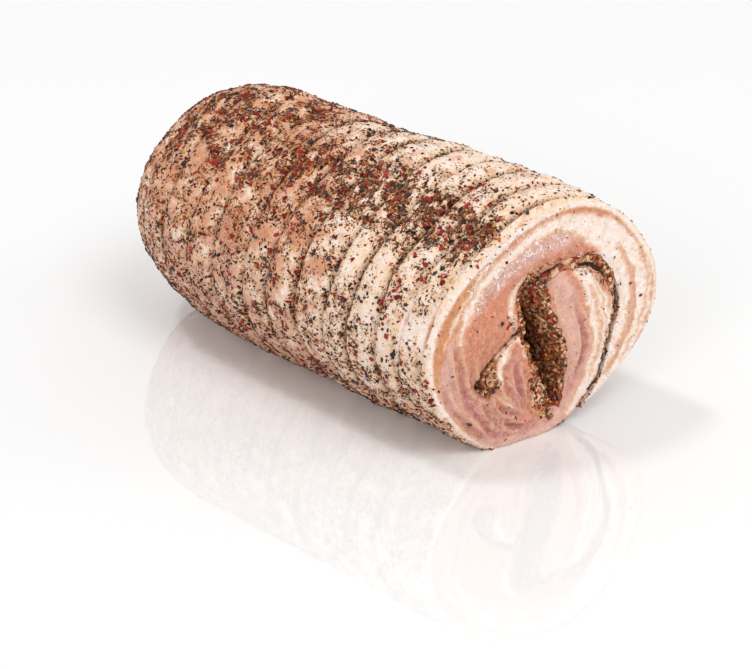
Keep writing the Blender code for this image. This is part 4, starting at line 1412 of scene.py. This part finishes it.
# ------------ the slab
@dataclass
class PorkSlab:
    """The rolled slab: skin, rounded far end and cut face, with the herb layers cut out of it."""

    roll: RollForm
    relief: CutRelief
    bands: HerbBands
    finish: PorkBelly
    outside: OutsideFat = OutsideFat()
    cover: RubCover = RubCover()
    angle_steps: int = 420
    side_step: float = 0.00095
    end_rings: int = 22
    end_turns: int = 14
    end_reach: float = 0.012
    rim_rings: int = 7
    face_step: float = 0.00068
    furrow_depth: float = 0.0016
    furrow_half: float = 0.0013
    furrow_mean: float = 0.62  # the netting pressed harder in some places than in others
    furrow_swing: float = 0.38
    furrow_far: float = 0.45  # the grooves are shallower at the far end
    furrow_near: Zone = Zone(0.06, 0.10)
    wrinkle_height: float = 0.00065
    wrinkle_size: float = 0.0075
    pore_height: float = 0.00016
    pore_size: float = 0.0022
    edge_stray: float = 0.0016  # the edges of the bands on the cut wander by this
    edge_size: float = 0.0055
    edge_fine: float = 0.3  # a finer wander on top, as a share of both
    skin_share: Zone = Zone(0.955, 0.030)  # shares of the radius where the skin begins
    uncut: float = 0.9  # share of the length that is skin all round
    patch_size: float = 0.004  # the creases of the cut are patchy at this size
    rim_soft: float = 0.002
    wet_soft: float = 0.006
    obj: Object = field(init=False)

    def angles(self) -> Array:
        """Angles of the mesh's steps round the roll."""
        return np.arange(self.angle_steps) * (2.0 * math.pi / self.angle_steps)

    def end_ring_points(self) -> list[Array]:
        """Rings on the flat, slightly domed far end, from the middle out.

        Returns:
            One array of points for each ring.
        """
        roll = self.roll
        rings = []
        for number in range(self.end_rings):
            share = (number + 1) / (self.end_rings + 1)
            ring = roll.point(0.0, self.angles(), roll.end_flat * share, 0.0)
            ring[:, 0] -= roll.end_dome * (1.0 - share * share)
            rings.append(ring)
        return rings

    def side_rings(self) -> list[Array]:
        """Rings along the roll, closer together where the far end rounds off.

        Returns:
            One array of points for each ring.
        """
        roll = self.roll
        turns = np.linspace(0.0, math.acos(1.0 - self.end_reach / roll.end_depth), self.end_turns,
                            endpoint=False)
        start = roll.end_depth * (1.0 - np.cos(turns))
        stop = roll.length - self.relief.rim_drop
        rest = np.linspace(self.end_reach, stop, round((stop - self.end_reach) / self.side_step))
        rings = []
        for along in np.concatenate([start, rest]):
            spot = np.full(self.angle_steps, along)
            lift = roll.lift(spot, self.angles()) + self.skin_relief(spot, self.angles())
            rings.append(roll.point(spot, self.angles(), roll.end_scale(spot), lift))
        return rings

    def skin_relief(self, along: Array, angle: Array) -> Array:
        """Fine relief of the outside: a sharp furrow in each groove, wrinkles and pores.

        Args:
            along: distances from the far end.
            angle: angles round the roll.

        Returns:
            Heights in metres.
        """
        ring = np.stack([along, self.roll.mean_radius * np.cos(angle),
                         self.roll.mean_radius * np.sin(angle)], -1)
        relief = -self.furrow_depth * self.furrows(along, angle, 1.0)
        relief += self.wrinkle_height * soft_noise(ring, self.wrinkle_size, 11.0)
        return relief + self.pore_height * soft_noise(ring, self.pore_size, 5.0)

    def furrows(self, along: Array, angle: Array, width: float) -> Array:
        """How deep in a groove of the netting each place lies, 1 at its bottom.

        Args:
            along: distances from the far end.
            angle: angles round the roll.
            width: width as a multiple of the furrow's own.

        Returns:
            Values from 0 to 1.
        """
        start, stop, index = self.roll.tie_pair(along, angle)
        gap = np.minimum(np.abs(along - start), np.abs(stop - along))
        nearer = np.where(np.abs(along - start) < np.abs(stop - along), index - 1, index)
        swing = self.furrow_swing * np.sin(3.1 * angle + 1.9 * nearer) * np.cos(1.3 * angle - 0.7 * nearer)
        fade = self.furrow_mean + swing
        deeper = self.furrow_far + (1.0 - self.furrow_far) * self.furrow_near.share(along)
        return np.exp(-(gap / (self.furrow_half * width)) ** 2) * fade * deeper

    def face_rings(self) -> list[Array]:
        """Rings on the rounded rim and the cut, from the outside in.

        Returns:
            One array of points for each ring.
        """
        roll, relief = self.roll, self.relief
        spot = np.full(self.angle_steps, roll.length)
        lift = roll.lift(spot, self.angles())
        turns = np.linspace(0.0, 0.5 * math.pi, self.rim_rings, endpoint=False)[1:]
        shares = list(1.0 - relief.rim_width * (1.0 - np.cos(turns)))
        drops = list(relief.rim_drop * (1.0 - np.sin(turns)))
        flat = 1.0 - relief.rim_width
        count = round(flat * roll.mean_radius / self.face_step)
        shares += [flat * (1.0 - number / count) for number in range(count)]
        drops += [0.0] * count
        rings = []
        for share, drop in zip(shares, drops):
            ring = roll.point(spot, self.angles(), share, lift * share)
            ring[:, 0] += relief.height(ring[:, 1], ring[:, 2], np.full(self.angle_steps, share)) - drop
            rings.append(ring)
        return rings

    def skin(self) -> Object:
        """Closed skin of the roll.

        Returns:
            An object in the part's frame.
        """
        rings = self.end_ring_points() + self.side_rings() + self.face_rings()
        size = self.angle_steps
        middles = [ring.mean(0, keepdims=True) for ring in (rings[0], rings[-1])]
        corners = np.concatenate(rings + middles) + ROLL_PLACE
        last = (len(rings) - 1) * size
        far, near = len(rings) * size, len(rings) * size + 1
        pairs = [(step, (step + 1) % size) for step in range(size)]
        faces = ring_quads(len(rings), size)
        faces += [(far, after, step) for step, after in pairs]
        faces += [(near, last + step, last + after) for step, after in pairs]
        return grid_mesh("roast_slab", corners, faces)

    def hidden(self, points: Array) -> Array:
        """Whether places lie on the walls between the turns, which the filling covers.

        Args:
            points: places in the part's frame.

        Returns:
            True for each such place.
        """
        along, _, share = self.roll.place_of(points)
        behind = 0.5 * self.roll.length + self.roll.cut_skew * points[:, 1] - (points[:, 0] - ROLL_PLACE[0])
        return (share < 0.93 * self.roll.end_scale(along)) & (along > 0.003) & (behind > 0.0045)

    def cut_masks(self, points: Array, share: Array) -> dict[str, Array]:
        """Masks of the cut: the base of lean meat, the bands, the fat at the rim and the creases.

        Args:
            points: places on the cut.
            share: their distance from the middle as a share of the radius.

        Returns:
            One value for each place in each mask.
        """
        fine_stray, fine_size = self.edge_fine * self.edge_stray, self.edge_fine * self.edge_size
        stray = [self.edge_stray * soft_noise(points, self.edge_size, shift)
                 + fine_stray * soft_noise(points, fine_size, shift) for shift in (0.0, 9.0)]
        across = points[:, 1] - ROLL_PLACE[1] + stray[0]
        up = points[:, 2] + self.roll.resting_cut + stray[1]
        masks = {name: np.full(len(points), value) for name, value in CUT_BASE.items()}
        for layer in CUT_BANDS:
            layer.paint(masks, across, up)
        turn = np.arctan2(up - self.roll.half_height(1.0), across) % (2.0 * math.pi) / (2.0 * math.pi)
        rim = self.roll.between(OUTLINE_FAT, turn) - (1.0 - share) * self.roll.mean_radius
        masks["fat"] += (1.0 - masks["fat"]) * smooth_step(0.5 + rim / self.rim_soft)
        # Painted shade darkens the creases with the bloody hue, and painted light makes the crests beside
        # them paler; the crests are also fatty in patches.
        valley, crest = self.relief.creased(across, up)
        patchy = 0.55 + 0.45 * soft_noise(points, self.patch_size, 13.0)
        masks["mauve"] = np.clip(masks["mauve"] + 0.55 * valley * patchy, 0.0, 1.0)
        masks["pale"] = np.clip(masks["pale"] + 0.6 * crest, 0.0, 1.0)
        masks["fat"] = masks["fat"] + 1.1 * crest * patchy
        masks["wet"] = 0.50 + 0.50 * self.glisten(across, up)
        return masks

    def dress(self) -> None:
        """Store the masks that the material reads, and give the slab its finish."""
        data = self.obj.data
        points = mesh_points(data)
        along, angle, share = self.roll.place_of(points)
        degrees = whole_turn(angle)
        skin = np.maximum(self.skin_share.share(share), (along < self.uncut * self.roll.length) * 1.0)
        # The outside first. Its lean meat is tanned on the right and the top and paler on the left.
        masks = {
            "fat": self.outside.at(self, along, angle, points),
            "tan": 1.0 - 0.55 * Zone(175.0, 30.0).share(degrees),
            "mauve": 0.12 * np.ones(len(points)),
            "pale": 0.25 + 0.45 * Zone(150.0, 30.0).share(degrees),
            "herbed": np.zeros(len(points)),
            "wet": np.full(len(points), 0.40),
        }
        on_cut = skin < 1.0
        for name, values in self.cut_masks(points[on_cut], share[on_cut]).items():
            masks[name][on_cut] += (values - masks[name][on_cut]) * (1.0 - skin[on_cut])
        masks["skin"] = skin
        masks["groove"] = self.furrows(along, angle, 1.2) * skin
        masks["rub"] = self.cover.at(self.roll.length, along, angle, points) * skin
        # The fat is warmer where the rub tints it, and round the tied grooves as painted shade.
        masks["warm"] = (0.22 + 0.7 * self.furrows(along, angle, 3.0)) * skin + 0.5 * masks["rub"]
        for name, values in masks.items():
            set_mask(data, name, values)
        data.materials.append(self.finish.material())

    def glisten(self, across: Array, up: Array) -> Array:
        """How wet and finely folded the cut is: most above the big muscle.

        Args:
            across: y of each corner on the cut.
            up: z of each corner, with the bottom of the roll at 0.

        Returns:
            Values from 0 to 1.
        """
        wet = np.zeros(len(across))
        for line in WET_LINES:
            wet = np.maximum(wet, smooth_step(0.5 - line.room(across, up) / self.wet_soft))
        return wet

    def build(self) -> Object:
        """Make the slab.

        Returns:
            The finished object.
        """
        self.obj = self.skin()
        layers = self.bands.layers(0.0)
        boolean(layers[0], layers[1:], "UNION")
        boolean(self.obj, layers[:1], "DIFFERENCE")
        self.obj.name = "roast_slab"
        self.obj.data.materials.clear()
        set_points(self.obj.data, mesh_points(self.obj.data))
        self.obj.data.shade_smooth()
        self.obj.data.set_sharp_from_angle(angle=math.radians(55.0))
        self.dress()
        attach(self.obj, "root")
        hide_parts("pork_roll")
        return self.obj


# ------------ the herb filling
@dataclass
class HerbFilling:
    """Herbs packed between the turns of the slab, with the open pocket in the hollow."""

    roll: RollForm
    bands: HerbBands
    finish: PackedHerbs
    gap: float = 0.0003
    lining: float = 0.0021
    pocket_depth: float = 0.056
    pocket_least: float = 0.0006
    inset: float = 0.0024
    face_inset: float = 0.0012
    end_inset: float = 0.0007
    crumb_height: float = 0.0007
    crumb_size: float = 0.0030
    grit_height: float = 0.0003
    grit_size: float = 0.0014
    crack_half: float = 0.0007
    crack_depth: float = 0.0022
    shade_start: float = 0.009
    shade_depth: float = 0.018
    shown: float = 0.0022  # what lies less than this behind the cut shows from outside
    smear_size: float = 0.0055
    trim_steps: int = 420
    trim_step: float = 0.004
    trim_rings: int = 120
    trim_end: tuple[float, ...] = (0.25, 0.5, 0.75, 0.9)
    obj: Object = field(init=False)

    def trim(self) -> Object:
        """Skin inside the roll that the filling is cut to.

        Returns:
            An object in the roll's place.
        """
        roll = self.roll
        angles = np.arange(self.trim_steps) * (2.0 * math.pi / self.trim_steps)
        rings = []
        for share in self.trim_end:
            ring = roll.point(0.0, angles, roll.end_flat * share, 0.0)
            ring[:, 0] += self.end_inset - roll.end_dome * (1.0 - share * share)
            rings.append(ring)
        side = np.arange(0.012, roll.length - 0.003, self.trim_step)
        for along in np.concatenate([(0.0, 0.0015, 0.006), side, (roll.length - 0.003,)]):
            spot = np.full(len(angles), along)
            ring = roll.skin(spot, angles, self.inset)
            ring[:, 0] += self.end_inset if along == 0.0 else 0.0
            rings.append(ring)
        spot = np.full(len(angles), roll.length)
        for share in np.linspace(0.945, 0.02, self.trim_rings):
            ring = roll.point(spot, angles, share, (roll.lift(spot, angles) - self.inset) * share)
            ring[:, 0] += CutRelief().plain(ring[:, 1], ring[:, 2]) - self.face_inset
            rings.append(ring)
        size, last = len(angles), (len(rings) - 1) * len(angles)
        faces = ring_quads(len(rings), size)
        faces.append(list(range(size))[::-1])
        faces.append(list(range(last, last + size)))
        return grid_mesh("trim", np.concatenate(rings) + ROLL_PLACE, faces)

    def build(self) -> Object:
        """Make the filling.

        Returns:
            The finished object.
        """
        hollow, seam, branch = self.bands.layers(self.gap)
        boolean(hollow, [seam, branch], "UNION")
        boolean(hollow, [self.trim()], "INTERSECT")
        within = np.arange(0.0, self.pocket_depth, self.bands.step)
        depths = [-self.bands.overshoot, *within, self.pocket_depth]
        pocket = self.bands.ribbon(HOLLOW_LINE, HOLLOW_DEEP, depths, self.gap + self.lining,
                                   self.pocket_least)
        boolean(hollow, [pocket], "DIFFERENCE")
        self.obj = hollow
        self.obj.name = "herb_layers"
        data = self.obj.data
        points, normals = mesh_points(data), mesh_normals(data)
        crumbs = (self.crumb_height * soft_noise(points, self.crumb_size, 1.0)
                  + self.grit_height * soft_noise(points, self.grit_size, 6.0))
        cracked, depth = self.cracks(points)
        moved = points + normals * crumbs[:, None]
        moved[:, 0] -= self.crack_depth * cracked * (depth < 0.004)
        set_points(data, moved)
        # Painted shade darkens the hollow behind its mouth. The seams behind its end don't show.
        walls = smooth_step((depth - self.shade_start) / self.shade_depth)
        walls = walls * (depth < self.pocket_depth + 0.004)
        set_mask(data, "shaded", np.clip(0.9 * cracked * (depth < 0.008) + walls, 0.0, 0.95))
        set_mask(data, "meaty", self.meaty(points, depth))
        data.materials.clear()
        data.materials.append(self.finish.material())
        data.shade_smooth()
        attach(self.obj, "root")
        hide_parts("herb_filling")
        return self.obj

    def meaty(self, points: Array, depth: Array) -> Array:
        """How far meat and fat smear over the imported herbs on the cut, away from the open places.

        Args:
            points: places in the part's frame.
            depth: how far behind the cut they lie.

        Returns:
            A value from 0 to 1 for each place.
        """
        across, up, _ = self.roll.on_cut(points)
        smear = smooth_step(0.5 + 1.6 * soft_noise(points, self.smear_size, 14.0)) * (depth < 0.003)
        for line in OPEN_HERBS:
            smear = smear * smooth_step(line.room(across, up) / 0.004)
        return smear

    def cracks(self, points: Array) -> tuple[Array, Array]:
        """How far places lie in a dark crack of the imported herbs, and how deep behind the cut.

        Args:
            points: places in the part's frame.

        Returns:
            A value from 0 to 1 and a depth in metres for each place.
        """
        across, up, depth = self.roll.on_cut(points)
        cracked = np.zeros(len(points))
        for line in CRACK_LINES:
            room = np.maximum(line.room(across, up), 0.0)
            cracked = np.maximum(cracked, np.exp(-(room / self.crack_half) ** 2))
        return cracked, depth

    def lined(self, points: Array) -> Array:
        """How openly places on the filling show, 1 on the cut and in the pocket.

        Args:
            points: places in the part's frame.

        Returns:
            One value for each place.
        """
        across, up, depth = self.roll.on_cut(points)
        widest = np.array(0.0098)  # half the hollow's width at its mouth
        shrunk = self.bands.half(widest, 0.0) - self.bands.half(widest, depth)
        in_pocket = (HOLLOW_LINE.room(across, up) + shrunk < -0.0010) & (depth < self.pocket_depth)
        _, _, share = self.roll.place_of(points)
        behind = np.where(share > 0.93, 0.5, 0.0)
        on_cut = np.where(depth < self.shown, 0.9 - 0.75 * self.meaty(points, depth), behind)
        return np.where(in_pocket, 1.0, on_cut)


# ------------ spices
@dataclass
class Surface:
    """Triangles that spices can lie on, with how much of each kind of ground they are."""

    corners: Array
    normals: Array
    areas: Array
    rub: Array
    cut: Array
    groove: Array
    lining: Array

    @classmethod
    def of(cls, slab: PorkSlab, filling: HerbFilling) -> "Surface":
        """Read the slab and the filling.

        Args:
            slab: the built slab.
            filling: the built filling.

        Returns:
            Their triangles together.
        """
        parts = []
        for obj in (slab.obj, filling.obj):
            triangles, corners = triangle_corners(obj.data)
            cross = np.cross(corners[:, 1] - corners[:, 0], corners[:, 2] - corners[:, 0])
            size = np.linalg.norm(cross, axis=1)
            normals = cross / np.maximum(size, 1e-12)[:, None]
            middles = corners.mean(1)
            if obj is slab.obj:
                masks = {}
                for name in ("rub", "skin", "groove", "herbed"):
                    values = np.empty(len(obj.data.vertices), np.float32)
                    obj.data.attributes[name].data.foreach_get("value", values)
                    masks[name] = values[triangles].mean(1)
                hidden = slab.hidden(middles)
                shown = {"rub": masks["rub"] * ~hidden, "groove": masks["groove"] * ~hidden,
                         "cut": (1.0 - masks["skin"]) * ~hidden, "lining": 0.8 * masks["herbed"] * ~hidden}
            else:
                none = np.zeros(len(size))
                shown = {"rub": none, "groove": none, "cut": none, "lining": filling.lined(middles)}
            parts.append({"corners": corners, "normals": normals, "areas": 0.5 * size, **shown})
        return cls(**{name: np.concatenate([part[name] for part in parts]) for name in parts[0]})


class BitShape(Enum):
    """Rough shapes of the bits, each with the corners of its form at unit size."""

    GRAIN = ((1, 0, -0.707), (-1, 0, -0.707), (0, 1, 0.707), (0, -1, 0.707))
    CHIP = ((1, 0, 0), (0, 1, 0), (-1, 0, 0), (0, -1, 0), (0, 0, 1), (0, 0, -1))
    CRUMB = ((0, 1, 1.618), (0, 1, -1.618), (0, -1, 1.618), (0, -1, -1.618),
             (1, 1.618, 0), (1, -1.618, 0), (-1, 1.618, 0), (-1, -1.618, 0),
             (1.618, 0, 1), (-1.618, 0, 1), (1.618, 0, -1), (-1.618, 0, -1))

    def template(self) -> tuple[Array, Array]:
        """Corners and triangles of one bit: a triangle for each three that lie closest together.

        Returns:
            Places of the corners, and corner numbers of each triangle.
        """
        corners = np.array(self.value, float)
        corners /= np.linalg.norm(corners[0])
        trios = np.array(list(itertools.combinations(range(len(corners)), 3)))
        sides = np.linalg.norm(corners[trios] - corners[np.roll(trios, 1, 1)], axis=2)
        trios = trios[sides.max(1) < sides.min() * 1.01]
        first, second, third = (corners[trios[:, number]] for number in range(3))
        inward = np.einsum("ij,ij->i", np.cross(second - first, third - first), first + second + third) < 0.0
        trios[inward] = trios[inward][:, ::-1]
        return corners, trios


@dataclass(frozen=True)
class SpiceKind:
    """One kind of spice: how many bits lie on each ground, and their sizes."""

    name: str
    finish: SpiceFinish
    shape: BitShape
    on_rub: float  # bits on each square centimetre where the rub is thickest
    in_groove: float
    on_lining: float
    on_cut: float
    half_long: tuple[float, float]
    narrow: tuple[float, float]
    flat: tuple[float, float]
    sink: float = 0.24
    uneven: float = 0.28
    power: float = 1.0  # above 1 keeps this kind to where the rub is thick

    def scatter(self, ground: Surface, rng: np.random.Generator) -> Object:
        """Lay the bits on the ground as one joined mesh.

        Args:
            ground: triangles that they lie on.
            rng: seeded source of chance.

        Returns:
            The object that holds every bit.
        """
        weights = (self.on_rub * ground.rub ** self.power + self.in_groove * ground.groove
                   + self.on_lining * ground.lining + self.on_cut * ground.cut) * ground.areas * 1e4
        count = int(round(weights.sum()))
        chosen = rng.choice(len(weights), count, p=weights / weights.sum())
        first, second = rng.random(count), rng.random(count)
        flip = first + second > 1.0
        first, second = np.where(flip, 1.0 - first, first), np.where(flip, 1.0 - second, second)
        corner, ahead, aside = (ground.corners[chosen, number] for number in range(3))
        spots = corner + first[:, None] * (ahead - corner) + second[:, None] * (aside - corner)
        return self.joined(spots, ground.normals[chosen], rng)

    def joined(self, spots: Array, normals: Array, rng: np.random.Generator) -> Object:
        """Make bits at given places as one mesh.

        Args:
            spots: where they lie.
            normals: which way is up there.
            rng: seeded source of chance.

        Returns:
            The object that holds every bit.
        """
        count = len(spots)
        corners, triangles = self.shape.template()
        helper = np.where(np.abs(normals[:, :1]) < 0.8, (1.0, 0.0, 0.0), (0.0, 1.0, 0.0))
        side = np.cross(normals, helper)
        side /= np.linalg.norm(side, axis=1, keepdims=True)
        turn = rng.uniform(0.0, 2.0 * math.pi, (count, 1))
        ahead = side * np.cos(turn) + np.cross(normals, side) * np.sin(turn)
        aside = np.cross(normals, ahead)
        long = self.half_long[0] + (self.half_long[1] - self.half_long[0]) * rng.random((count, 1)) ** 1.8
        narrow = long * rng.uniform(*self.narrow, (count, 1))
        flat = long * rng.uniform(*self.flat, (count, 1))
        local = corners[None] * (1.0 + self.uneven * rng.uniform(-1.0, 1.0, (count, len(corners), 1)))
        lifted = local[..., 2:] * flat[:, None] + (flat * (0.5 - self.sink))[:, None]
        places = (spots[:, None] + ahead[:, None] * local[..., :1] * long[:, None]
                  + aside[:, None] * local[..., 1:2] * narrow[:, None] + normals[:, None] * lifted)
        numbers = (triangles[None] + (np.arange(count) * len(corners))[:, None, None]).reshape(-1, 3)
        data = bpy.data.meshes.new(self.name)
        data.from_pydata(places.reshape(-1, 3).tolist(), [], numbers.tolist())
        set_points(data, places.reshape(-1, 3))
        set_mask(data, "tint", np.repeat(rng.random(count), len(corners)))
        data.materials.append(self.finish.material())
        obj = put(self.name, data)
        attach(obj, "root")
        return obj


# To the eye: dull specks, almost black with brown edges, that give the rub its fine grain.
GROUND_PEPPER = SpiceFinish("black_pepper_ground", "#180806", "#4c2a1c", roughness=0.55, coat=0.08)
# Dark reddish brown splinters, matt but for a trace of oil.
HERB_FLECK = SpiceFinish("oregano_dried_and_rubbed", "#1e0704", "#5f2a13", roughness=0.55, coat=0.12)
# Lighter brown splinters that warm the rub.
BROWN_FLECK = SpiceFinish("thyme_dried_and_chopped", "#532410", "#925c2a", roughness=0.55, coat=0.12)
# Coarse dark grey crumbs, a little shiny on their broken sides.
PEPPER = SpiceFinish("black_pepper_cracked", "#191516", "#4c4648", roughness=0.5, coat=0.15)
# Leathery flakes from deep to bright red, smooth enough for a small glint.
RED_FLAKE = SpiceFinish("red_pepper_dried_and_flaked", "#640b07", "#b02a1b", roughness=0.4, coat=0.25)
# The same in rusty orange.
ORANGE_FLAKE = SpiceFinish("orange_pepper_dried_and_flaked", "#9c3d0c", "#cf6f1c", roughness=0.4, coat=0.25)
# Small rounded yellow crumbs, the brightest dots of the rub.
YELLOW_BIT = SpiceFinish("mustard_seed_crushed", "#b8741a", "#dba83a", roughness=0.5, coat=0.15)

SPICES = (
    SpiceKind("pepper_grains", GROUND_PEPPER, BitShape.GRAIN, on_rub=34, in_groove=30, on_lining=10,
              on_cut=0.4, half_long=(0.00028, 0.00065), narrow=(0.5, 0.8), flat=(0.35, 0.6)),
    SpiceKind("herb_flecks", HERB_FLECK, BitShape.CHIP, on_rub=60, in_groove=34, on_lining=16,
              on_cut=0.3, half_long=(0.00040, 0.00135), narrow=(0.3, 0.65), flat=(0.25, 0.5)),
    SpiceKind("brown_flecks", BROWN_FLECK, BitShape.CHIP, on_rub=52, in_groove=12, on_lining=30,
              on_cut=0.2, half_long=(0.00035, 0.0012), narrow=(0.35, 0.7), flat=(0.25, 0.45)),
    SpiceKind("pepper_bits", PEPPER, BitShape.CRUMB, on_rub=6.5, in_groove=4, on_lining=1.5,
              on_cut=0.04, half_long=(0.0005, 0.0016), narrow=(0.55, 0.9), flat=(0.3, 0.55), power=1.2),
    SpiceKind("red_flakes", RED_FLAKE, BitShape.CRUMB, on_rub=8.5, in_groove=3.5, on_lining=5,
              on_cut=0.04, half_long=(0.0005, 0.0019), narrow=(0.4, 0.8), flat=(0.2, 0.35), power=1.1),
    SpiceKind("orange_flakes", ORANGE_FLAKE, BitShape.CRUMB, on_rub=6, in_groove=1.5, on_lining=3,
              on_cut=0.04, half_long=(0.0005, 0.0013), narrow=(0.45, 0.85), flat=(0.2, 0.35)),
    SpiceKind("yellow_bits", YELLOW_BIT, BitShape.CRUMB, on_rub=2.0, in_groove=0.4, on_lining=2,
              on_cut=0.02, half_long=(0.0004, 0.0010), narrow=(0.6, 0.9), flat=(0.35, 0.6)),
)


# ------------ studio
@dataclass(frozen=True)
class Studio:
    """Plain pale floor, soft daylight and the camera at the photograph's angle."""

    camera_azimuth: float = math.radians(-46.527)
    camera_elevation: float = math.radians(26.240)
    camera_distance: float = 1.500
    pivot: tuple[float, float, float] = (0.0, 0.0, 0.062)
    aim: tuple[float, float, float] = (0.01585, -0.01252, 0.02291)
    lens: float = 145.555
    floor_size: float = 6.0
    floor_drop: float = 0.0003
    floor_colour: str = "#f2f2f2"
    world_strength: float = 0.66
    # Azimuth from +X and elevation in degrees, strength, and angular size in degrees.
    suns: Table = (
        (-8.0, 56.0, 0.90, 30.0),
        (-72.0, 30.0, 0.60, 24.0),
        (-160.0, 66.0, 0.65, 9.0),
        (44.0, 7.0, 0.85, 26.0),
    )

    @staticmethod
    def direction(azimuth: float, elevation: float) -> Vector:
        """Unit vector towards an azimuth from +X and an elevation, both in radians."""
        level = math.cos(elevation)
        return Vector((level * math.cos(azimuth), level * math.sin(azimuth), math.sin(elevation)))

    def floor(self) -> None:
        """Pale floor."""
        half = 0.5 * self.floor_size
        sides = ((-half, -half), (half, -half), (half, half), (-half, half))
        corners = [(across, back, -self.floor_drop) for across, back in sides]
        data = bpy.data.meshes.new("floor")
        data.from_pydata(corners, [], [(0, 1, 2, 3)])
        # To the eye: a plain white sheet with a clear gloss, which mirrors the roast faintly.
        made, tree, shader = new_material("acrylic_sheet_polished")
        feed(tree, shader, {"Base Color": linear(self.floor_colour), "Roughness": 0.04, "IOR": 1.49,
                            "Coat Weight": 1.0, "Coat Roughness": 0.03})
        data.materials.append(made)
        obj = put("floor", data)

    def camera(self) -> None:
        """Camera at the photograph's viewing angle."""
        data = bpy.data.cameras.new("photo_camera")
        data.lens = self.lens
        data.sensor_width = 36.0
        data.clip_start = 0.05
        data.clip_end = 20.0
        obj = put("photo_camera", data)
        away = self.direction(self.camera_azimuth, self.camera_elevation)
        obj.location = Vector(self.pivot) + away * self.camera_distance
        obj.rotation_mode = "QUATERNION"
        obj.rotation_quaternion = (Vector(self.aim) - obj.location).to_track_quat("-Z", "Y")
        bpy.context.scene.camera = obj

    def lights(self) -> None:
        """Four soft suns and an even sky."""
        for number, (azimuth, elevation, strength, size) in enumerate(self.suns):
            data = bpy.data.lights.new(f"soft_sun_{number}", "SUN")
            data.energy = strength
            data.angle = math.radians(size)
            obj = put(data.name, data)
            back = self.direction(math.radians(azimuth), math.radians(elevation))
            obj.rotation_mode = "QUATERNION"
            obj.rotation_quaternion = (-back).to_track_quat("-Z", "Y")
        world = bpy.data.worlds.new("studio")
        world.use_nodes = True
        feed(world.node_tree, world.node_tree.nodes["Background"],
             {"Color": (1.0, 1.0, 1.0, 1.0), "Strength": self.world_strength})
        bpy.context.scene.world = world
        bpy.context.scene.view_settings.view_transform = "Standard"

    def build(self) -> None:
        """Set up the whole studio."""
        self.floor()
        self.camera()
        self.lights()


# ------------ everything
def report(obj: Object) -> None:
    """Log a piece's name and size."""
    size = ", ".join(f"{1000.0 * side:.1f}" for side in obj.dimensions)
    log.info("%s: %d faces, %s mm", obj.name, len(obj.data.polygons), size)


def main() -> None:
    """Build every piece and the studio, and log each piece's size."""
    logging.basicConfig(level=logging.INFO, format="%(name)s %(message)s")
    roll = RollForm()
    bands = HerbBands(roll)
    slab = PorkSlab(roll, CutRelief(), bands, PorkBelly())
    report(slab.build())
    filling = HerbFilling(roll, bands, PackedHerbs())
    report(filling.build())
    ground = Surface.of(slab, filling)
    rng = np.random.default_rng(SEED)
    for kind in SPICES:
        report(kind.scatter(ground, rng))
    Studio().build()


if __name__ == "__main__":
    main()
